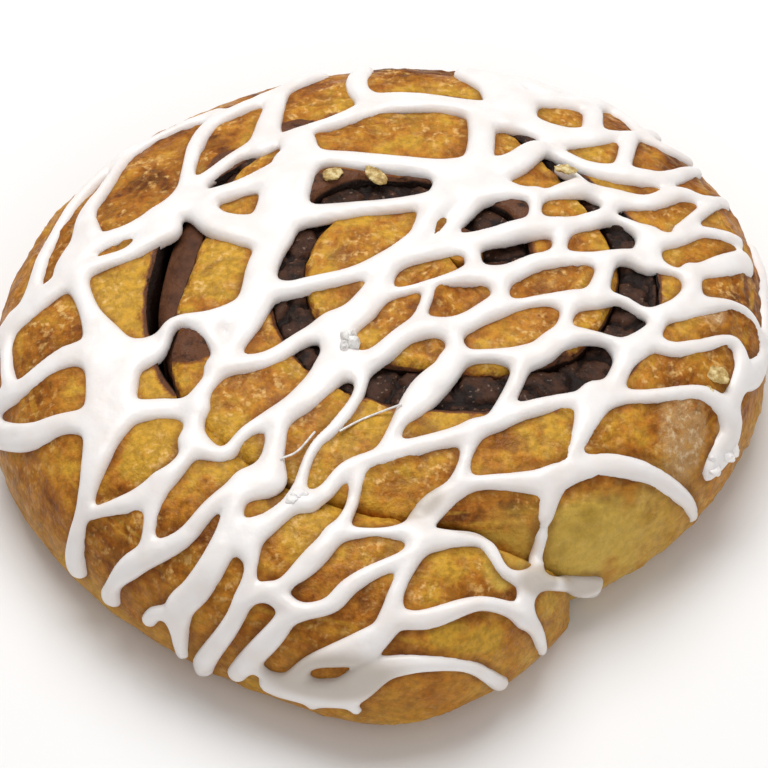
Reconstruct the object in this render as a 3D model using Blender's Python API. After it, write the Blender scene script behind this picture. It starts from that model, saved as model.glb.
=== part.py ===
"""Cinnamon roll: a strip of dough rolled up round its cinnamon filling, with white icing drizzled over.

Metres, +Z up. The roll lies flat on z = 0, with the middle of its box over the origin.
"""
import bmesh
import bpy
import numpy as np
from mathutils import Vector
from mathutils.bvhtree import BVHTree

MM = 0.001

# The whole roll. The top is a low dome that has fallen by DOME_FALL at DOME_RADIUS from the middle
HEIGHT = 30 * MM
DOME_RADIUS = 58 * MM
DOME_FALL = 6 * MM
DOME_POWER = 2.2
SPIRAL_MIDDLE = (9.7 * MM, 11.5 * MM)
TO_ORIGIN = (0.46 * MM, -2.87 * MM, 0)

# The strip of dough. Angles are degrees along the spiral, anticlockwise from above. Between RIM_START and
# RIM_FULL the strip's outer side goes from a wall under the next turn to the round rim of the roll
STRIP_START = -60
STRIP_END = 1010
RIM_START = 585
RIM_FULL = 665
EDGE_DROP = 1.5 * MM
CLOSED_EDGE_DROP = 0.6 * MM
EDGE_ROUNDNESS = 3.5
RIM_FULLNESS = 0.75
SHOULDER = np.radians(56)
BELLY = 8 * MM
UNDERCUT = 7 * MM

# The top puffs up and down along the strip: each wave's share, waves in a turn and start, in degrees
PUFF = 0.5 * MM
PUFF_START = 8 * MM
PUFF_WAVES = [(0.6, 4.6, 0), (0.4, 7.3, 40)]

# The tail, the strip's free end, sinks towards the table
TAIL_START = 975
TAIL_DROP = 15 * MM
TAIL_STEEPNESS = 3

# Radius of the seam at an angle, in millimetres. One turn further out it is the inner side of the next turn,
# and from RIM_FULL on it is the rim of the roll
SEAM_RADIUS = [
    (-60, 0), (-25, 5), (0, 8), (45, 9.5), (90, 12), (135, 19.5), (180, 23.5), (225, 26.5), (270, 25.5),
    (315, 29), (360, 28.3), (405, 27.3), (450, 36), (495, 36.6), (520, 40), (540, 41.7), (557, 42.8),
    (570, 44.5), (585, 47.3), (630, 48),
    (650, 49.5), (675, 48.5), (720, 49), (765, 50.8), (810, 51), (855, 58.6), (890, 67), (922, 71),
    (950, 69), (967, 68.8), (983, 68.8), (998, 61), (1010, 51),
]

# The filling: its width at the top of the seam, in millimetres, and how it sits in the slot
FILLING_WIDTH = [
    (-60, 0.2), (-45, 3), (0, 7), (45, 7), (90, 6), (135, 5.5), (180, 4.5), (225, 6.5), (270, 7),
    (315, 8), (360, 5.5), (405, 3.5), (450, 2), (495, 2.5), (520, 5.6), (540, 6.4), (557, 5), (567, 4.8),
    (580, 2.8), (592, 1.2), (605, 0.3), (650, 0.3),
]
FILLING_START = -42
FILLING_END = 600
FILLING_LOW_WIDTH = 1.6 * MM
FILLING_DEPTH = 4.0 * MM
FILLING_LIFT = 0.5 * MM
FILLING_CROWN = 0.3 * MM
GAP = 0.3 * MM

# The mesh of the strip
STATION_STEP = 9
TOP_POINTS = 5
SIDE_POINTS = 3
UNDER_POINTS = 2
MERGE_DISTANCE = 0.02 * MM

# The icing. A strand's route is drawn on a level sheet over the roll, and each of its points falls towards
# the focus under the roll until it meets the dough, so that a route past the edge goes down the side
SHEET_HEIGHT = 30 * MM
FOCUS = Vector((0, 0, -45 * MM))
FALL_HEIGHT = 200 * MM
ICING_HEIGHT = 1.5 * MM
ICING_SINK = 1.0 * MM
ICING_STEP = 8.5 * MM
END_TAPER = 0.6
# Half-round profile of a strand, from foot over crown to foot, in shares of its width and its height
ICING_PROFILE = [(-0.57, 0), (-0.42, 0.75), (0, 1), (0.42, 0.75), (0.57, 0)]

# Each strand: its usual width, then its route as (x, y) or, where the width differs, (x, y, width), in
# millimetres
STRANDS = [
    # left rim and left side
    (4, (-76.7, 3.2), (-59.6, 9.2, 5), (-45.2, 14.3, 2.7), (-40.6, 15.4, 2.7), (-34.9, 20.3, 5.5)),
    (2.7, (-60.5, 11.4, 3.5), (-53.1, 34.1), (-48.3, 41.9), (-42.2, 47.4, 2.2), (-28.7, 52.1)),
    (3.7, (-51.9, 14.9, 5.3), (-49.1, 19.7, 5.9), (-49.7, 27.2), (-47.2, 33.8, 2.4), (-44.6, 47.2, 2.2)),
    (3, (-49.5, 18.3, 3.5), (-40.2, 20.9), (-32.4, 29.2, 2.3), (-32, 34.4, 2.3), (-31.1, 42.5),
     (-29.7, 47.2), (-21, 54.1), (-11.7, 64.5, 3.4)),
    (4.2, (-75.3, -7), (-61.2, -7.3, 3.3), (-49.8, -4), (-43.7, -5, 5.5)),
    (4.4, (-81.5, -9), (-58.4, -17.8), (-52.4, -17.3, 3.7), (-42, -18.5, 5.4)),
    (3.9, (-51, 14.7, 4.2), (-47.1, 4.5, 3.5), (-43.1, -5.7, 8.7), (-52, -35.2, 2.6), (-63.9, -46.3)),
    (3.9, (-42.5, -5.9, 6.4), (-37.1, -5.1, 5.4), (-31.2, -0.5, 1.9), (-26.3, -1.2), (-20.7, 2.3, 1.6)),
    (3.6, (-41, -17.1, 4.1), (-32.3, -16.8), (-27.9, -17.4)),
    (3, (-64.5, 9), (-66.2, 3.5), (-66.5, -2.5), (-65, -7.5)),
    # column right of the dark band, then down to the left
    (3.6, (-13.6, 38, 5.5), (-12.9, 33.4, 5.6), (-12.8, 27.4), (-18.5, 9.2, 4.9), (-19.1, 2.9, 5),
     (-24.3, -9.8, 2.4), (-28.6, -17.4, 3.1), (-28.9, -24.5, 2.4), (-37.5, -32.7), (-48.8, -34.9, 1.6)),
    (4.7, (-35.8, 23.1, 4), (-31.1, 25.4, 4.2), (-25.9, 20.1, 5.1), (-18, 17.1, 7)),
    (3.2, (-31.7, 27.6), (-26.6, 27.1), (-15.7, 30.9, 4.1)),
    # top
    (3.3, (-31.1, 29, 2.6), (-23, 38.2, 2.5), (-6.9, 44.2), (-1.1, 49.5, 5.9), (15.4, 48.4, 4.3),
     (31.6, 43.9, 4.4), (42.5, 48.3, 1.9), (49.9, 54.5)),
    (3.9, (-19.8, 38.8, 4.9), (-18, 55.2, 2.9)),
    (3.7, (-3.8, 66.1), (-3.9, 53.9), (-1.7, 50.7)),
    (3.6, (-16, 33.5, 2.7), (-7.6, 33.2), (6.9, 31.6, 4.1), (11.2, 31, 4.7), (18.6, 31.9, 5.1),
     (27.2, 39.5, 3.3), (36.8, 35.4, 3.3), (45.6, 35.4), (57.4, 45.3, 2.3)),
    (4, (-16.1, 21.7), (-12.5, 21.1), (0.2, 22.8, 2.9), (8.4, 24.2, 3), (11.6, 30.9, 4.9)),
    (3.9, (15.1, 61, 5.5), (20, 54.5), (34.2, 55.6, 3.1), (40.4, 61.7)),
    (7.3, (20.4, 53.8), (21.9, 50.2), (19.9, 46.9)),
    (4.3, (16, 47.9), (15.4, 36.9), (14.2, 31.5)),
    (3.5, (35.2, 45), (37, 55.4)),
    (2.6, (38.1, 62.5), (42.6, 60.6), (45.7, 53.5)),
    (2.4, (46.9, 49.7), (51.6, 49), (57.5, 51.1)),
    (2.8, (42.9, 47.4), (39.5, 36.4)),
    # middle
    (3.2, (-18.9, 3.9), (-3.2, 8.5, 2.7), (4.2, 14.2), (7.8, 21.8, 3.9), (12, 27.2, 6.5),
     (15.9, 26.8, 6.3), (31.3, 30.7, 5.4), (43.5, 29, 3.9), (48.7, 31.8), (56.2, 34, 1.9), (62.1, 38.1)),
    (3, (-25.2, -9.9, 3.3), (-17.7, -8.9), (-10, -3), (-6, -1.5, 4.6), (1.6, 10.1, 2.2)),
    (3.3, (-2, 2.9, 1.9), (14.9, 8.7, 4.6), (17.4, 7.9, 3.6), (24.1, 11.4), (33.8, 13.2, 2.4),
     (39.7, 14.7, 2.7), (48.8, 12.4, 1.6), (52.6, 14.4), (63, 20.8, 5.1)),
    (2.4, (2.1, 9.4), (20.4, 17.5, 3.6), (35.2, 23.7), (37.3, 27.3)),
    (2.3, (7.8, 13, 1.6), (14.4, 25, 3.1)),
    (2, (23, 18.2, 1.6), (23.7, 26.1, 2.3)),
    (2.2, (26.6, 12.7), (28.2, 19.3)),
    (2.2, (31.9, 21.6, 1.6), (37.2, 23.1, 1.6), (44.9, 19.2, 2.9), (53.1, 23.5), (62.1, 25.9, 2.7)),
    (2.2, (48.3, 22.4), (58.2, 34.3)),
    (4.8, (42.8, 20.4, 3.2), (41.8, 13.9, 6.4)),
    (2.5, (17.5, 7.2, 2.9), (17.5, 1.9, 2.1)),
    (3, (34.9, 12.9, 2.4), (32.3, 4.5, 3.5)),
    (2.2, (16.4, 0.6), (24.7, 3.3), (28.2, 3.4, 3.5), (35.8, 4.4, 1.6), (42.4, 2.8), (46.3, 4, 3.3),
     (59.4, 8.6), (62.9, 8.9), (68.3, 6.7)),
    (3.4, (49.6, 13.2), (49.5, 9.1), (46.6, 4.1)),
    (2.7, (43.8, 3.2, 2), (42.4, -0.1), (39.2, -4.2, 4)),
    (2, (28.5, 3.3), (26.2, -4.4)),
    (2.6, (70.5, 32.6, 1.8), (72, 25.6), (70.3, 17), (70.2, 8.4), (70.5, 3.4, 3.9), (67, -1, 5),
     (62.8, -4.2, 3.8)),
    # centre to front
    (4.3, (-29, -23.4), (-24.6, -26.1, 2.6), (-20.2, -21.9, 2.1), (-12.7, -17.2), (-6.8, -6.4, 5.1),
     (-7.3, -2.3, 5.3)),
    (3.6, (-7.6, -10, 4), (-3.5, -9.8), (5.7, -3.3), (9.4, -2.9), (16.5, 1.4)),
    (1.8, (4.3, -3.9), (6.8, 3.8)),
    (2.4, (10.4, -3.5, 1.7), (10.6, -8.3, 3.2), (5.8, -15.2, 5.1), (1.9, -21.2), (0.4, -25)),
    (2.7, (9.4, -8.7, 2.3), (15.1, -7.8, 2.1), (23, -7.3, 4.2), (26.1, -4.4, 4), (34.4, -3.9, 2),
     (37.8, -5, 3.7), (41, -3.4), (45.4, -4), (49.7, -2.6), (60.1, 0.5), (61.6, -2.5, 3.7),
     (60.3, -9.1, 4.3)),
    (3, (61.2, -22.7, 4.4), (61.2, -20.1, 4.5), (63.4, -14.2, 5.9), (58.8, -11.8, 3.4), (54.9, -10.7),
     (42.3, -13.1, 2.5), (21.2, -18.1), (16.7, -20.4), (1.2, -26.1), (-5.7, -28.7, 2.3),
     (-8.8, -32.8, 2.5), (-11.4, -35.2)),
    (2.2, (21, -7.6), (20, -11.7, 2.5), (17, -18.6)),
    (3.2, (38.2, -5), (34.7, -13.4)),
    (4, (32.5, -14.4, 5.6), (28.8, -25.3, 2.4)),
    (2.8, (13.4, -21.6), (12.4, -26.1, 1.9), (11.1, -31.8)),
    # front left family
    (2.9, (-56.1, -52.6, 3.7), (-54.7, -51.1), (-42.9, -45, 3.9), (-31.1, -40.5), (-25.6, -34.8, 2.4),
     (-21.4, -31.7), (-17.1, -28.5, 3.5), (-14.6, -20.2)),
    (2.2, (-34.2, -30.5, 2.8), (-39.4, -42.9, 1.6)),
    (3.1, (-46.9, -66.1, 4.4), (-39.9, -62.1, 1.6), (-35.6, -53.8, 4.5), (-31.7, -51, 4.5),
     (-23.4, -41.3, 3.9), (-20.9, -35.9), (-19.1, -34.1), (-16.6, -32.2), (-14.3, -31.5, 2.5),
     (-13.6, -30, 2.5)),
    (2.4, (-46.4, -57), (-42.9, -55.4), (-38, -55.5)),
    (2.2, (-24, -33.4), (-23, -37.3)),
    (2.2, (-13.8, -33.8), (-19.2, -39.5, 1.6), (-20, -43.5, 1.6), (-23.4, -53.5, 2.7),
     (-38.6, -69.4, 3.3)),
    (2.1, (-13.3, -34.1, 1.6), (-9.9, -24.4, 1.7), (-7, -21.1), (-3.4, -12), (-4.2, -9.3, 3)),
    (1.9, (-3.5, -28.9), (-5.9, -38.1), (-10.6, -45.1, 3.6), (-17.3, -51.1), (-22.3, -53, 1.6)),
    (2.4, (-7.6, -40.8), (-0.6, -40.6, 1.7), (2.9, -40.4), (8.1, -34.5, 4.4), (11, -32.2, 2.9),
     (26.4, -29.7, 4.4), (30.3, -27.7, 4.3), (55.4, -28.3), (65.8, -29.6, 1.6)),
    (2.9, (26, -29.7, 4.1), (26, -37.1, 1.7)),
    (1.6, (27.3, -39.5), (26.3, -47.7)),
    (1.7, (3.4, -40.4, 2.1), (6.1, -41.8, 3.8), (10, -41.4, 3.6), (15, -41.2, 2.4), (19.9, -47.5),
     (25.5, -49.1), (30.4, -48.7), (41.6, -47.8), (46.6, -49.2)),
    (2.7, (25.1, -48.4), (24.5, -52.4), (25.3, -57.1)),
    (3, (5.7, -42.6, 2.2), (1.9, -51.7, 2.4), (0.1, -58.8, 3.7), (-3.2, -62, 5.1), (-14.5, -67.7, 2.4),
     (-17.4, -72.2, 3.6)),
    (2.9, (4.6, -44.2, 1.8), (-5.7, -50.9), (-7.9, -53.6), (-15.8, -56.6), (-18.5, -59.8, 3.5),
     (-30.1, -70.8)),
    (3.1, (-18.3, -51.2), (-14.6, -55)),
    (2.6, (1.2, -56.6), (4.9, -57, 3.6), (16.2, -53.6), (27.5, -58.2), (34.3, -65.4, 1.8)),
    (3.3, (-24.4, -72.7, 1.6), (-19.6, -73.5, 3.8), (-8.3, -73.4, 7), (0.9, -67.8, 4.7),
     (14.7, -67.3, 2.4), (24.7, -73.9, 2.9)),
]


def smooth_through(knots, at):
    """A smooth curve through (position, value, ...) knots, read at the positions given."""
    knots = np.asarray(knots, float)
    position, values = knots[:, 0], knots[:, 1:]
    slope = np.gradient(values, position, axis=0)
    at = np.atleast_1d(np.asarray(at, float))
    i = np.clip(np.searchsorted(position, at, side="right") - 1, 0, len(position) - 2)
    step = (position[i + 1] - position[i])[:, None]
    t = np.clip((at - position[i]) / step[:, 0], 0, 1)[:, None]
    start = (2 * t**3 - 3 * t**2 + 1) * values[i] + (t**3 - 2 * t**2 + t) * step * slope[i]
    end = (3 * t**2 - 2 * t**3) * values[i + 1] + (t**3 - t**2) * step * slope[i + 1]
    return start + end


def ease(x, start, end):
    """0 before start, 1 after end, and a smooth step between."""
    t = np.clip((x - start) / (end - start), 0, 1)
    return t * t * (3 - 2 * t)


def seam_radius(angle):
    return smooth_through(SEAM_RADIUS, angle)[:, 0] * MM


def filling_width(angle):
    return smooth_through(FILLING_WIDTH, angle)[:, 0] * MM


def place(radius, angle, z):
    """Points at these radii and angles about the middle of the spiral."""
    turn = np.radians(angle)
    x = SPIRAL_MIDDLE[0] + radius * np.cos(turn)
    y = SPIRAL_MIDDLE[1] + radius * np.sin(turn)
    return np.stack([x, y, z + 0 * x], axis=-1)


def top_height(radius, angle):
    """The top of the dough: a low dome, puffed up and down along the strip, that sinks at the tail."""
    x, y, _ = np.moveaxis(place(radius, angle, 0), -1, 0)
    dome = HEIGHT - PUFF - DOME_FALL * (np.hypot(x, y) / DOME_RADIUS) ** DOME_POWER
    puff = sum(share * np.sin(np.radians(waves * angle + start)) for share, waves, start in PUFF_WAVES)
    puff = PUFF * puff * ease(radius, 0, PUFF_START)
    along_tail = np.clip((angle - TAIL_START) / (STRIP_END - TAIL_START), 0, 1)
    return dome + puff - TAIL_DROP * along_tail**TAIL_STEEPNESS


def walls(angle, slot):
    """Radii of the strip's sides: inner top, inner foot, outer top and outer foot. slot is 1 with the
    filling's slot open and 0 with it closed."""

    def half_slot(at):
        half_top = (filling_width(at) / 2 + GAP) * slot
        return half_top, np.minimum((FILLING_LOW_WIDTH / 2 + GAP) * slot, half_top)

    inner = angle - 360
    inner_sides = [np.where(inner > STRIP_START, seam_radius(inner) + half, 0) for half in half_slot(inner)]
    covered = 1 - ease(angle, RIM_START, RIM_FULL)
    outer_sides = [np.maximum(seam_radius(angle) - half * covered, 0) for half in half_slot(angle)]
    return *inner_sides, *outer_sides


def strip_sections(angle, slot, edge_drop):
    """Cross-sections of the strip, each from the foot of its inner side, over the top, to its outer foot."""
    angle = np.asarray(angle, float)
    inner_top, inner_foot, outer_top, outer_foot = walls(angle, slot)
    span = outer_top - inner_top
    rim = ease(angle, RIM_START, RIM_FULL)
    crest = top_height(inner_top + 0.35 * span, angle)
    belly = np.minimum(BELLY, 0.4 * crest)
    undercut = np.minimum(UNDERCUT, 0.4 * span)
    edge_height = top_height(outer_top, angle) - edge_drop
    loop = [place(inner_foot, angle, 0)]

    def add(turn_radius, turn_z, rim_radius, rim_z):
        radius = turn_radius * (1 - rim) + rim_radius * rim
        loop.append(place(radius, angle, turn_z * (1 - rim) + rim_z * rim))

    def outer_wall(z):
        return outer_foot + (outer_top - outer_foot) * z / edge_height

    def rim_curve(quarter):
        z = belly + (crest - belly) * np.maximum(np.cos(quarter), 0) ** RIM_FULLNESS
        return inner_top + span * np.sin(quarter), z

    for t in np.linspace(0, 1, TOP_POINTS):
        radius = inner_top + span * t
        rounding = 1 - (1 - abs(2 * t - 1) ** EDGE_ROUNDNESS) ** (1 / EDGE_ROUNDNESS)
        rounding = rounding * np.where((t < 0.5) & (angle - 360 <= STRIP_START), 0, 1)
        add(radius, top_height(radius, angle) - edge_drop * rounding, *rim_curve(t * SHOULDER))
    for s in np.linspace(0, 1, SIDE_POINTS + 1)[1:]:
        z = edge_height * (1 - s) + belly * s
        add(outer_wall(z), z, *rim_curve(SHOULDER + s * (np.pi / 2 - SHOULDER)))
    for s in np.linspace(0, 1, UNDER_POINTS + 1)[1:]:
        quarter = s * np.pi / 2
        z = belly * (1 - s)
        add(outer_wall(z), z, outer_top - undercut * (1 - np.cos(quarter)), belly * (1 - np.sin(quarter)))
    return np.stack(loop, axis=1)


def filling_sections(angle):
    """Cross-sections of the filling, which fills the slot between two turns to within the gap."""
    angle = np.asarray(angle, float)
    _, _, near_top, near_foot = walls(angle, 1)
    far_top, far_foot, _, _ = walls(angle + 360, 1)
    rim = ease(angle, RIM_START, RIM_FULL)
    near_edge = top_height(near_top, angle) - EDGE_DROP
    far_edge = top_height(far_top, angle + 360) - EDGE_DROP
    top = np.minimum(near_edge, far_edge) - (FILLING_DEPTH - EDGE_DROP)

    def near_wall(z):
        line = near_foot + (near_top - near_foot) * z / near_edge
        return line * (1 - rim) + np.maximum(near_top, near_foot) * rim + GAP

    def far_wall(z):
        return far_foot + (far_top - far_foot) * z / far_edge - GAP

    middle = (near_wall(top) + far_wall(top)) / 2
    loop = [
        place(near_wall(FILLING_LIFT), angle, FILLING_LIFT),
        place(near_wall(top), angle, top),
        place(middle, angle, top + FILLING_CROWN),
        place(far_wall(top), angle, top),
        place(far_wall(FILLING_LIFT), angle, FILLING_LIFT),
    ]
    return np.stack(loop, axis=1)


def loft(name, sections):
    """A closed mesh through the sections, with its first and last closed by a face."""
    mesh = bmesh.new()
    rings = [[mesh.verts.new(point) for point in section] for section in sections]
    count = len(rings[0])
    for near, far in zip(rings, rings[1:]):
        for j in range(count):
            k = (j + 1) % count
            mesh.faces.new((near[j], near[k], far[k], far[j]))
    mesh.faces.new(rings[0][::-1])
    mesh.faces.new(rings[-1])
    bmesh.ops.remove_doubles(mesh, verts=mesh.verts, dist=MERGE_DISTANCE)
    bmesh.ops.recalc_face_normals(mesh, faces=mesh.faces)
    bmesh.ops.triangulate(mesh, faces=mesh.faces)
    data = bpy.data.meshes.new(name)
    mesh.to_mesh(data)
    mesh.free()
    return data


def add_object(name, data, collection, material):
    obj = bpy.data.objects.new(name, data)
    collection.objects.link(obj)
    data.materials.append(material)
    return obj


def plain_material(name, colour, roughness):
    material = bpy.data.materials.new(name)
    material.use_nodes = True
    shader = material.node_tree.nodes["Principled BSDF"]
    shader.inputs["Base Color"].default_value = (*colour, 1)
    shader.inputs["Roughness"].default_value = roughness
    shader.inputs["Metallic"].default_value = 0
    material.diffuse_color = (*colour, 1)
    return material


def strand_sections(strand, skin):
    """Cross-sections of one strand of icing, laid on the skin of the dough."""
    usual, *route = strand
    route = [(x * MM, y * MM, (rest[0] if rest else usual) * MM) for x, y, *rest in route]
    steps = np.diff(np.array(route)[:, :2], axis=0)
    along = np.append(0, np.cumsum(np.hypot(steps[:, 0], steps[:, 1])))
    knots = np.column_stack([along, route])
    count = max(2, round(along[-1] / ICING_STEP) + 1)
    centres, normals, widths = [], [], []
    for x, y, width in smooth_through(knots, np.linspace(0, along[-1], count)):
        inward = (FOCUS - Vector((x, y, SHEET_HEIGHT))).normalized()
        hit, normal, _, _ = skin.ray_cast(FOCUS - inward * FALL_HEIGHT, inward)
        centres.append(hit - normal * ICING_SINK)
        normals.append(normal)
        widths.append(width)
    sections = []
    for i, (centre, normal, width) in enumerate(zip(centres, normals, widths)):
        ahead = (centres[min(i + 1, count - 1)] - centres[max(i - 1, 0)]).normalized()
        side = ahead.cross(normal).normalized()
        up = side.cross(ahead)
        size = END_TAPER if i in (0, count - 1) else 1
        height = ICING_SINK + ICING_HEIGHT * size
        sections.append([centre + side * (width * size * a) + up * (height * b) for a, b in ICING_PROFILE])
    return sections


def fuse(base, collection):
    """Joins everything in the collection to the base for good, and clears the collection away."""
    union = base.modifiers.new("icing", "BOOLEAN")
    union.operation = "UNION"
    union.operand_type = "COLLECTION"
    union.collection = collection
    union.solver = "MANIFOLD"
    graph = bpy.context.evaluated_depsgraph_get()
    joined = bpy.data.meshes.new_from_object(base.evaluated_get(graph))
    base.modifiers.clear()
    base.data = joined
    for obj in list(collection.objects):
        bpy.data.objects.remove(obj)
    bpy.data.collections.remove(collection)


for old in list(bpy.data.objects):
    bpy.data.objects.remove(old)

roll = bpy.data.collections.new("cinnamon_roll")
strands = bpy.data.collections.new("icing_strands")
for group in (roll, strands):
    bpy.context.scene.collection.children.link(group)

dough_material = plain_material("baked_dough", (0.55, 0.27, 0.07), 0.6)
icing_material = plain_material("white_icing", (0.86, 0.85, 0.83), 0.35)
filling_material = plain_material("cinnamon_filling", (0.045, 0.022, 0.014), 0.55)

strip_angles = np.append(np.arange(STRIP_START, STRIP_END, STATION_STEP), STRIP_END)
dough = add_object("dough", loft("dough", strip_sections(strip_angles, 1, EDGE_DROP)), roll, dough_material)

filling_angles = np.arange(FILLING_START, FILLING_END + 0.1, STATION_STEP)
filling = add_object("filling", loft("filling", filling_sections(filling_angles)), roll, filling_material)

skin_data = loft("skin", strip_sections(strip_angles, 0, CLOSED_EDGE_DROP))
skin = BVHTree.FromPolygons([v.co for v in skin_data.vertices], [p.vertices for p in skin_data.polygons])
bpy.data.meshes.remove(skin_data)
for number, strand in enumerate(STRANDS):
    data = loft("strand", strand_sections(strand, skin))
    add_object(f"strand_{number:02d}", data, strands, icing_material)
fuse(dough, strands)

for obj in (dough, filling):
    for vertex in obj.data.vertices:
        vertex.co += Vector(TO_ORIGIN)
    obj.data.shade_smooth()
    obj.data.set_sharp_from_angle(angle=np.radians(50))
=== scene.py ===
"""A flat cinnamon roll with a web of white icing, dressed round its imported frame. Metres, +Z up."""

import bmesh
import bpy
import numpy as np
from mathutils import Matrix, Vector
from mathutils.bvhtree import BVHTree


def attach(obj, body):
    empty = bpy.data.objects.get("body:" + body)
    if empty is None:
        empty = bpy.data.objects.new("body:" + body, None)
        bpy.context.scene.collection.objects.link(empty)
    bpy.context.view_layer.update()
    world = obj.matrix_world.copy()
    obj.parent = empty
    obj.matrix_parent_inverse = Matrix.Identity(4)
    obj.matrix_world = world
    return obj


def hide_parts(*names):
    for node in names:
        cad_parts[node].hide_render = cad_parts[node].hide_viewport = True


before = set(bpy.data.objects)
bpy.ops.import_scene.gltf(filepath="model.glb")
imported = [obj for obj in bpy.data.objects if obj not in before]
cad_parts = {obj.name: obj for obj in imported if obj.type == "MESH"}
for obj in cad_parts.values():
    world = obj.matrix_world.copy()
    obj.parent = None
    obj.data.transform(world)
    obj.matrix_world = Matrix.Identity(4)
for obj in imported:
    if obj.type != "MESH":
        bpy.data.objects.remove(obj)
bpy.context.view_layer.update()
MM = 0.001


# The viewpoint. The roll lies on a pale table and is seen from the front and from well above, through a long
# lens that keeps its outline close to a drawing's.
AIM = Vector((0.46, -14.37, 27)) * MM
ELEVATION = np.radians(50)
DISTANCE = 620 * MM
PIXELS_PER_MM = 6.83
IMAGE_PIXELS = 768
camera_data = bpy.data.cameras.new("viewpoint")
camera_data.sensor_width = 36
camera_data.lens = PIXELS_PER_MM * (DISTANCE / MM) * camera_data.sensor_width / IMAGE_PIXELS
camera = bpy.data.objects.new("viewpoint", camera_data)
camera.location = AIM + DISTANCE * Vector((0, -np.cos(ELEVATION), np.sin(ELEVATION)))
camera.rotation_euler = (np.pi / 2 - ELEVATION, 0, 0)
bpy.context.scene.collection.objects.link(camera)
bpy.context.scene.camera = camera


# The strip of dough. One long strip of laminated, baked dough is rolled up from the middle outwards, and its
# free end lies low at the front. It is lofted along its spiral, with a slot for the filling, and then puffed,
# creased and layered by Geometry Nodes. Its angles run in degrees along the spiral, from the middle outwards.

# The top is a low dome, which falls by so much from its middle to its radius
HEIGHT = 30 * MM
DOME_RADIUS = 58 * MM
DOME_FALL = 6 * MM
DOME_POWER = 2.2
# The middle of the spiral, and the shift that puts the roll over the origin
SPIRAL_MIDDLE = (9.7 * MM, 11.5 * MM)
TO_ORIGIN = np.array([0.46, -2.87, 0]) * MM
# Where the strip starts and ends, and where it grows into the outermost turn with its full, round rim
STRIP_START = -60
STRIP_END = 1010
RIM_START = 585
RIM_FULL = 665
# How the edges of a turn's top round off, and the shape of the rim: its crest, its belly low on the side
# and its undercut below that
EDGE_DROP = 1.2 * MM
EDGE_ROUNDNESS = 3.5
RIM_FULLNESS = 0.75
CREST_SHARE = 0.35
LOW_SHARE = 0.4
SHOULDER = np.radians(56)
BELLY = 8 * MM
UNDERCUT = 7 * MM
# The top puffs up and down along the strip, each wave with its share, its count to a turn and its start
PUFF = 0.5 * MM
PUFF_START = 8 * MM
PUFF_WAVES = [(0.6, 4.6, 0), (0.4, 7.3, 40)]
# The free end sinks towards its tip
TAIL_START = 975
TAIL_DROP = 15 * MM
TAIL_STEEPNESS = 3
# The filling's slot narrows to this width at its foot, with a gap between the filling and the dough
FILLING_LOW_WIDTH = 1.6 * MM
GAP = 0.3 * MM
# Angle along the spiral in degrees and the radius of the seam there in millimetres
SEAM_RADIUS = [
    (-60, 0), (-25, 5), (0, 8), (45, 9.5), (90, 12), (135, 19.5), (180, 23.5), (225, 26.5), (270, 25.5),
    (315, 29), (360, 28.3), (405, 27.3), (450, 36), (495, 36.6), (520, 39.9), (540, 41.3), (553, 43.7),
    (560, 44.6), (566, 46.2), (572, 46.9), (585, 47.4), (630, 48), (650, 49.5), (675, 48.5), (720, 49),
    (765, 50.8), (810, 51), (855, 58.6), (890, 67), (922, 71), (950, 69), (967, 68.8), (983, 68.8),
    (998, 61), (1010, 51),
]
# Angle and the width of the filling's slot at the top, in millimetres, below 0 where the turns press together
FILLING_WIDTH = [
    (-60, 0.2), (-45, 3), (0, 7), (45, 7), (90, 6), (135, 5.5), (180, 4.5), (225, 6.5), (270, 7),
    (315, 8), (360, 5.5), (405, 3.5), (450, 2), (495, 0.9), (508, 1.1), (522, 4.9), (540, 5.8),
    (553, 4.3), (560, 3.4), (566, 1.5), (572, 0), (585, -0.2), (605, -0.3), (650, -0.3),
]
# The inner edge of the last turn is tucked lower, under the icing at the front
TUCK = 1.3 * MM
TUCK_START = 930
TUCK_FULL = 965
TUCK_POINTS = 6
# The wall of the notch at the front right stays pale between these angles
NOTCH_START = 632
NOTCH_FULL = 650
NOTCH_FADE = 654
NOTCH_END = 688
# How finely the strip is lofted
DOUGH_CELL = 0.7 * MM
DOUGH_TOP_POINTS = 34
DOUGH_SIDE_POINTS = 22
DOUGH_UNDER_POINTS = 8
MERGE_DISTANCE = 0.02 * MM
STATION_STEP = 0.5
# Where the filling starts and ends between the turns
FILLING_START = -42
FILLING_END = 572
# The icing was drawn on a level sheet at this height, which falls towards the focus under the roll
SHEET_HEIGHT = 30 * MM
FOCUS = np.array([0, 0, -45]) * MM


def smooth_through(knots, at):
    """A smooth curve through (position, value, ...) knots, read at the positions given."""
    knots = np.asarray(knots, float)
    position, values = knots[:, 0], knots[:, 1:]
    slope = np.gradient(values, position, axis=0)
    at = np.atleast_1d(np.asarray(at, float))
    i = np.clip(np.searchsorted(position, at, side="right") - 1, 0, len(position) - 2)
    step = (position[i + 1] - position[i])[:, None]
    t = np.clip((at - position[i]) / step[:, 0], 0, 1)[:, None]
    start = (2 * t**3 - 3 * t**2 + 1) * values[i] + (t**3 - 2 * t**2 + t) * step * slope[i]
    end = (3 * t**2 - 2 * t**3) * values[i + 1] + (t**3 - t**2) * step * slope[i + 1]
    return start + end


def ease(x, start, end):
    """0 before start, 1 after end, and a smooth step between."""
    t = np.clip((x - start) / (end - start), 0, 1)
    return t * t * (3 - 2 * t)


def seam_radius(angle):
    """The radius of the seam between two turns."""
    return smooth_through(SEAM_RADIUS, angle)[:, 0] * MM


def filling_width(angle):
    """The width of the filling's slot at the top."""
    return smooth_through(FILLING_WIDTH, angle)[:, 0] * MM


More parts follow.
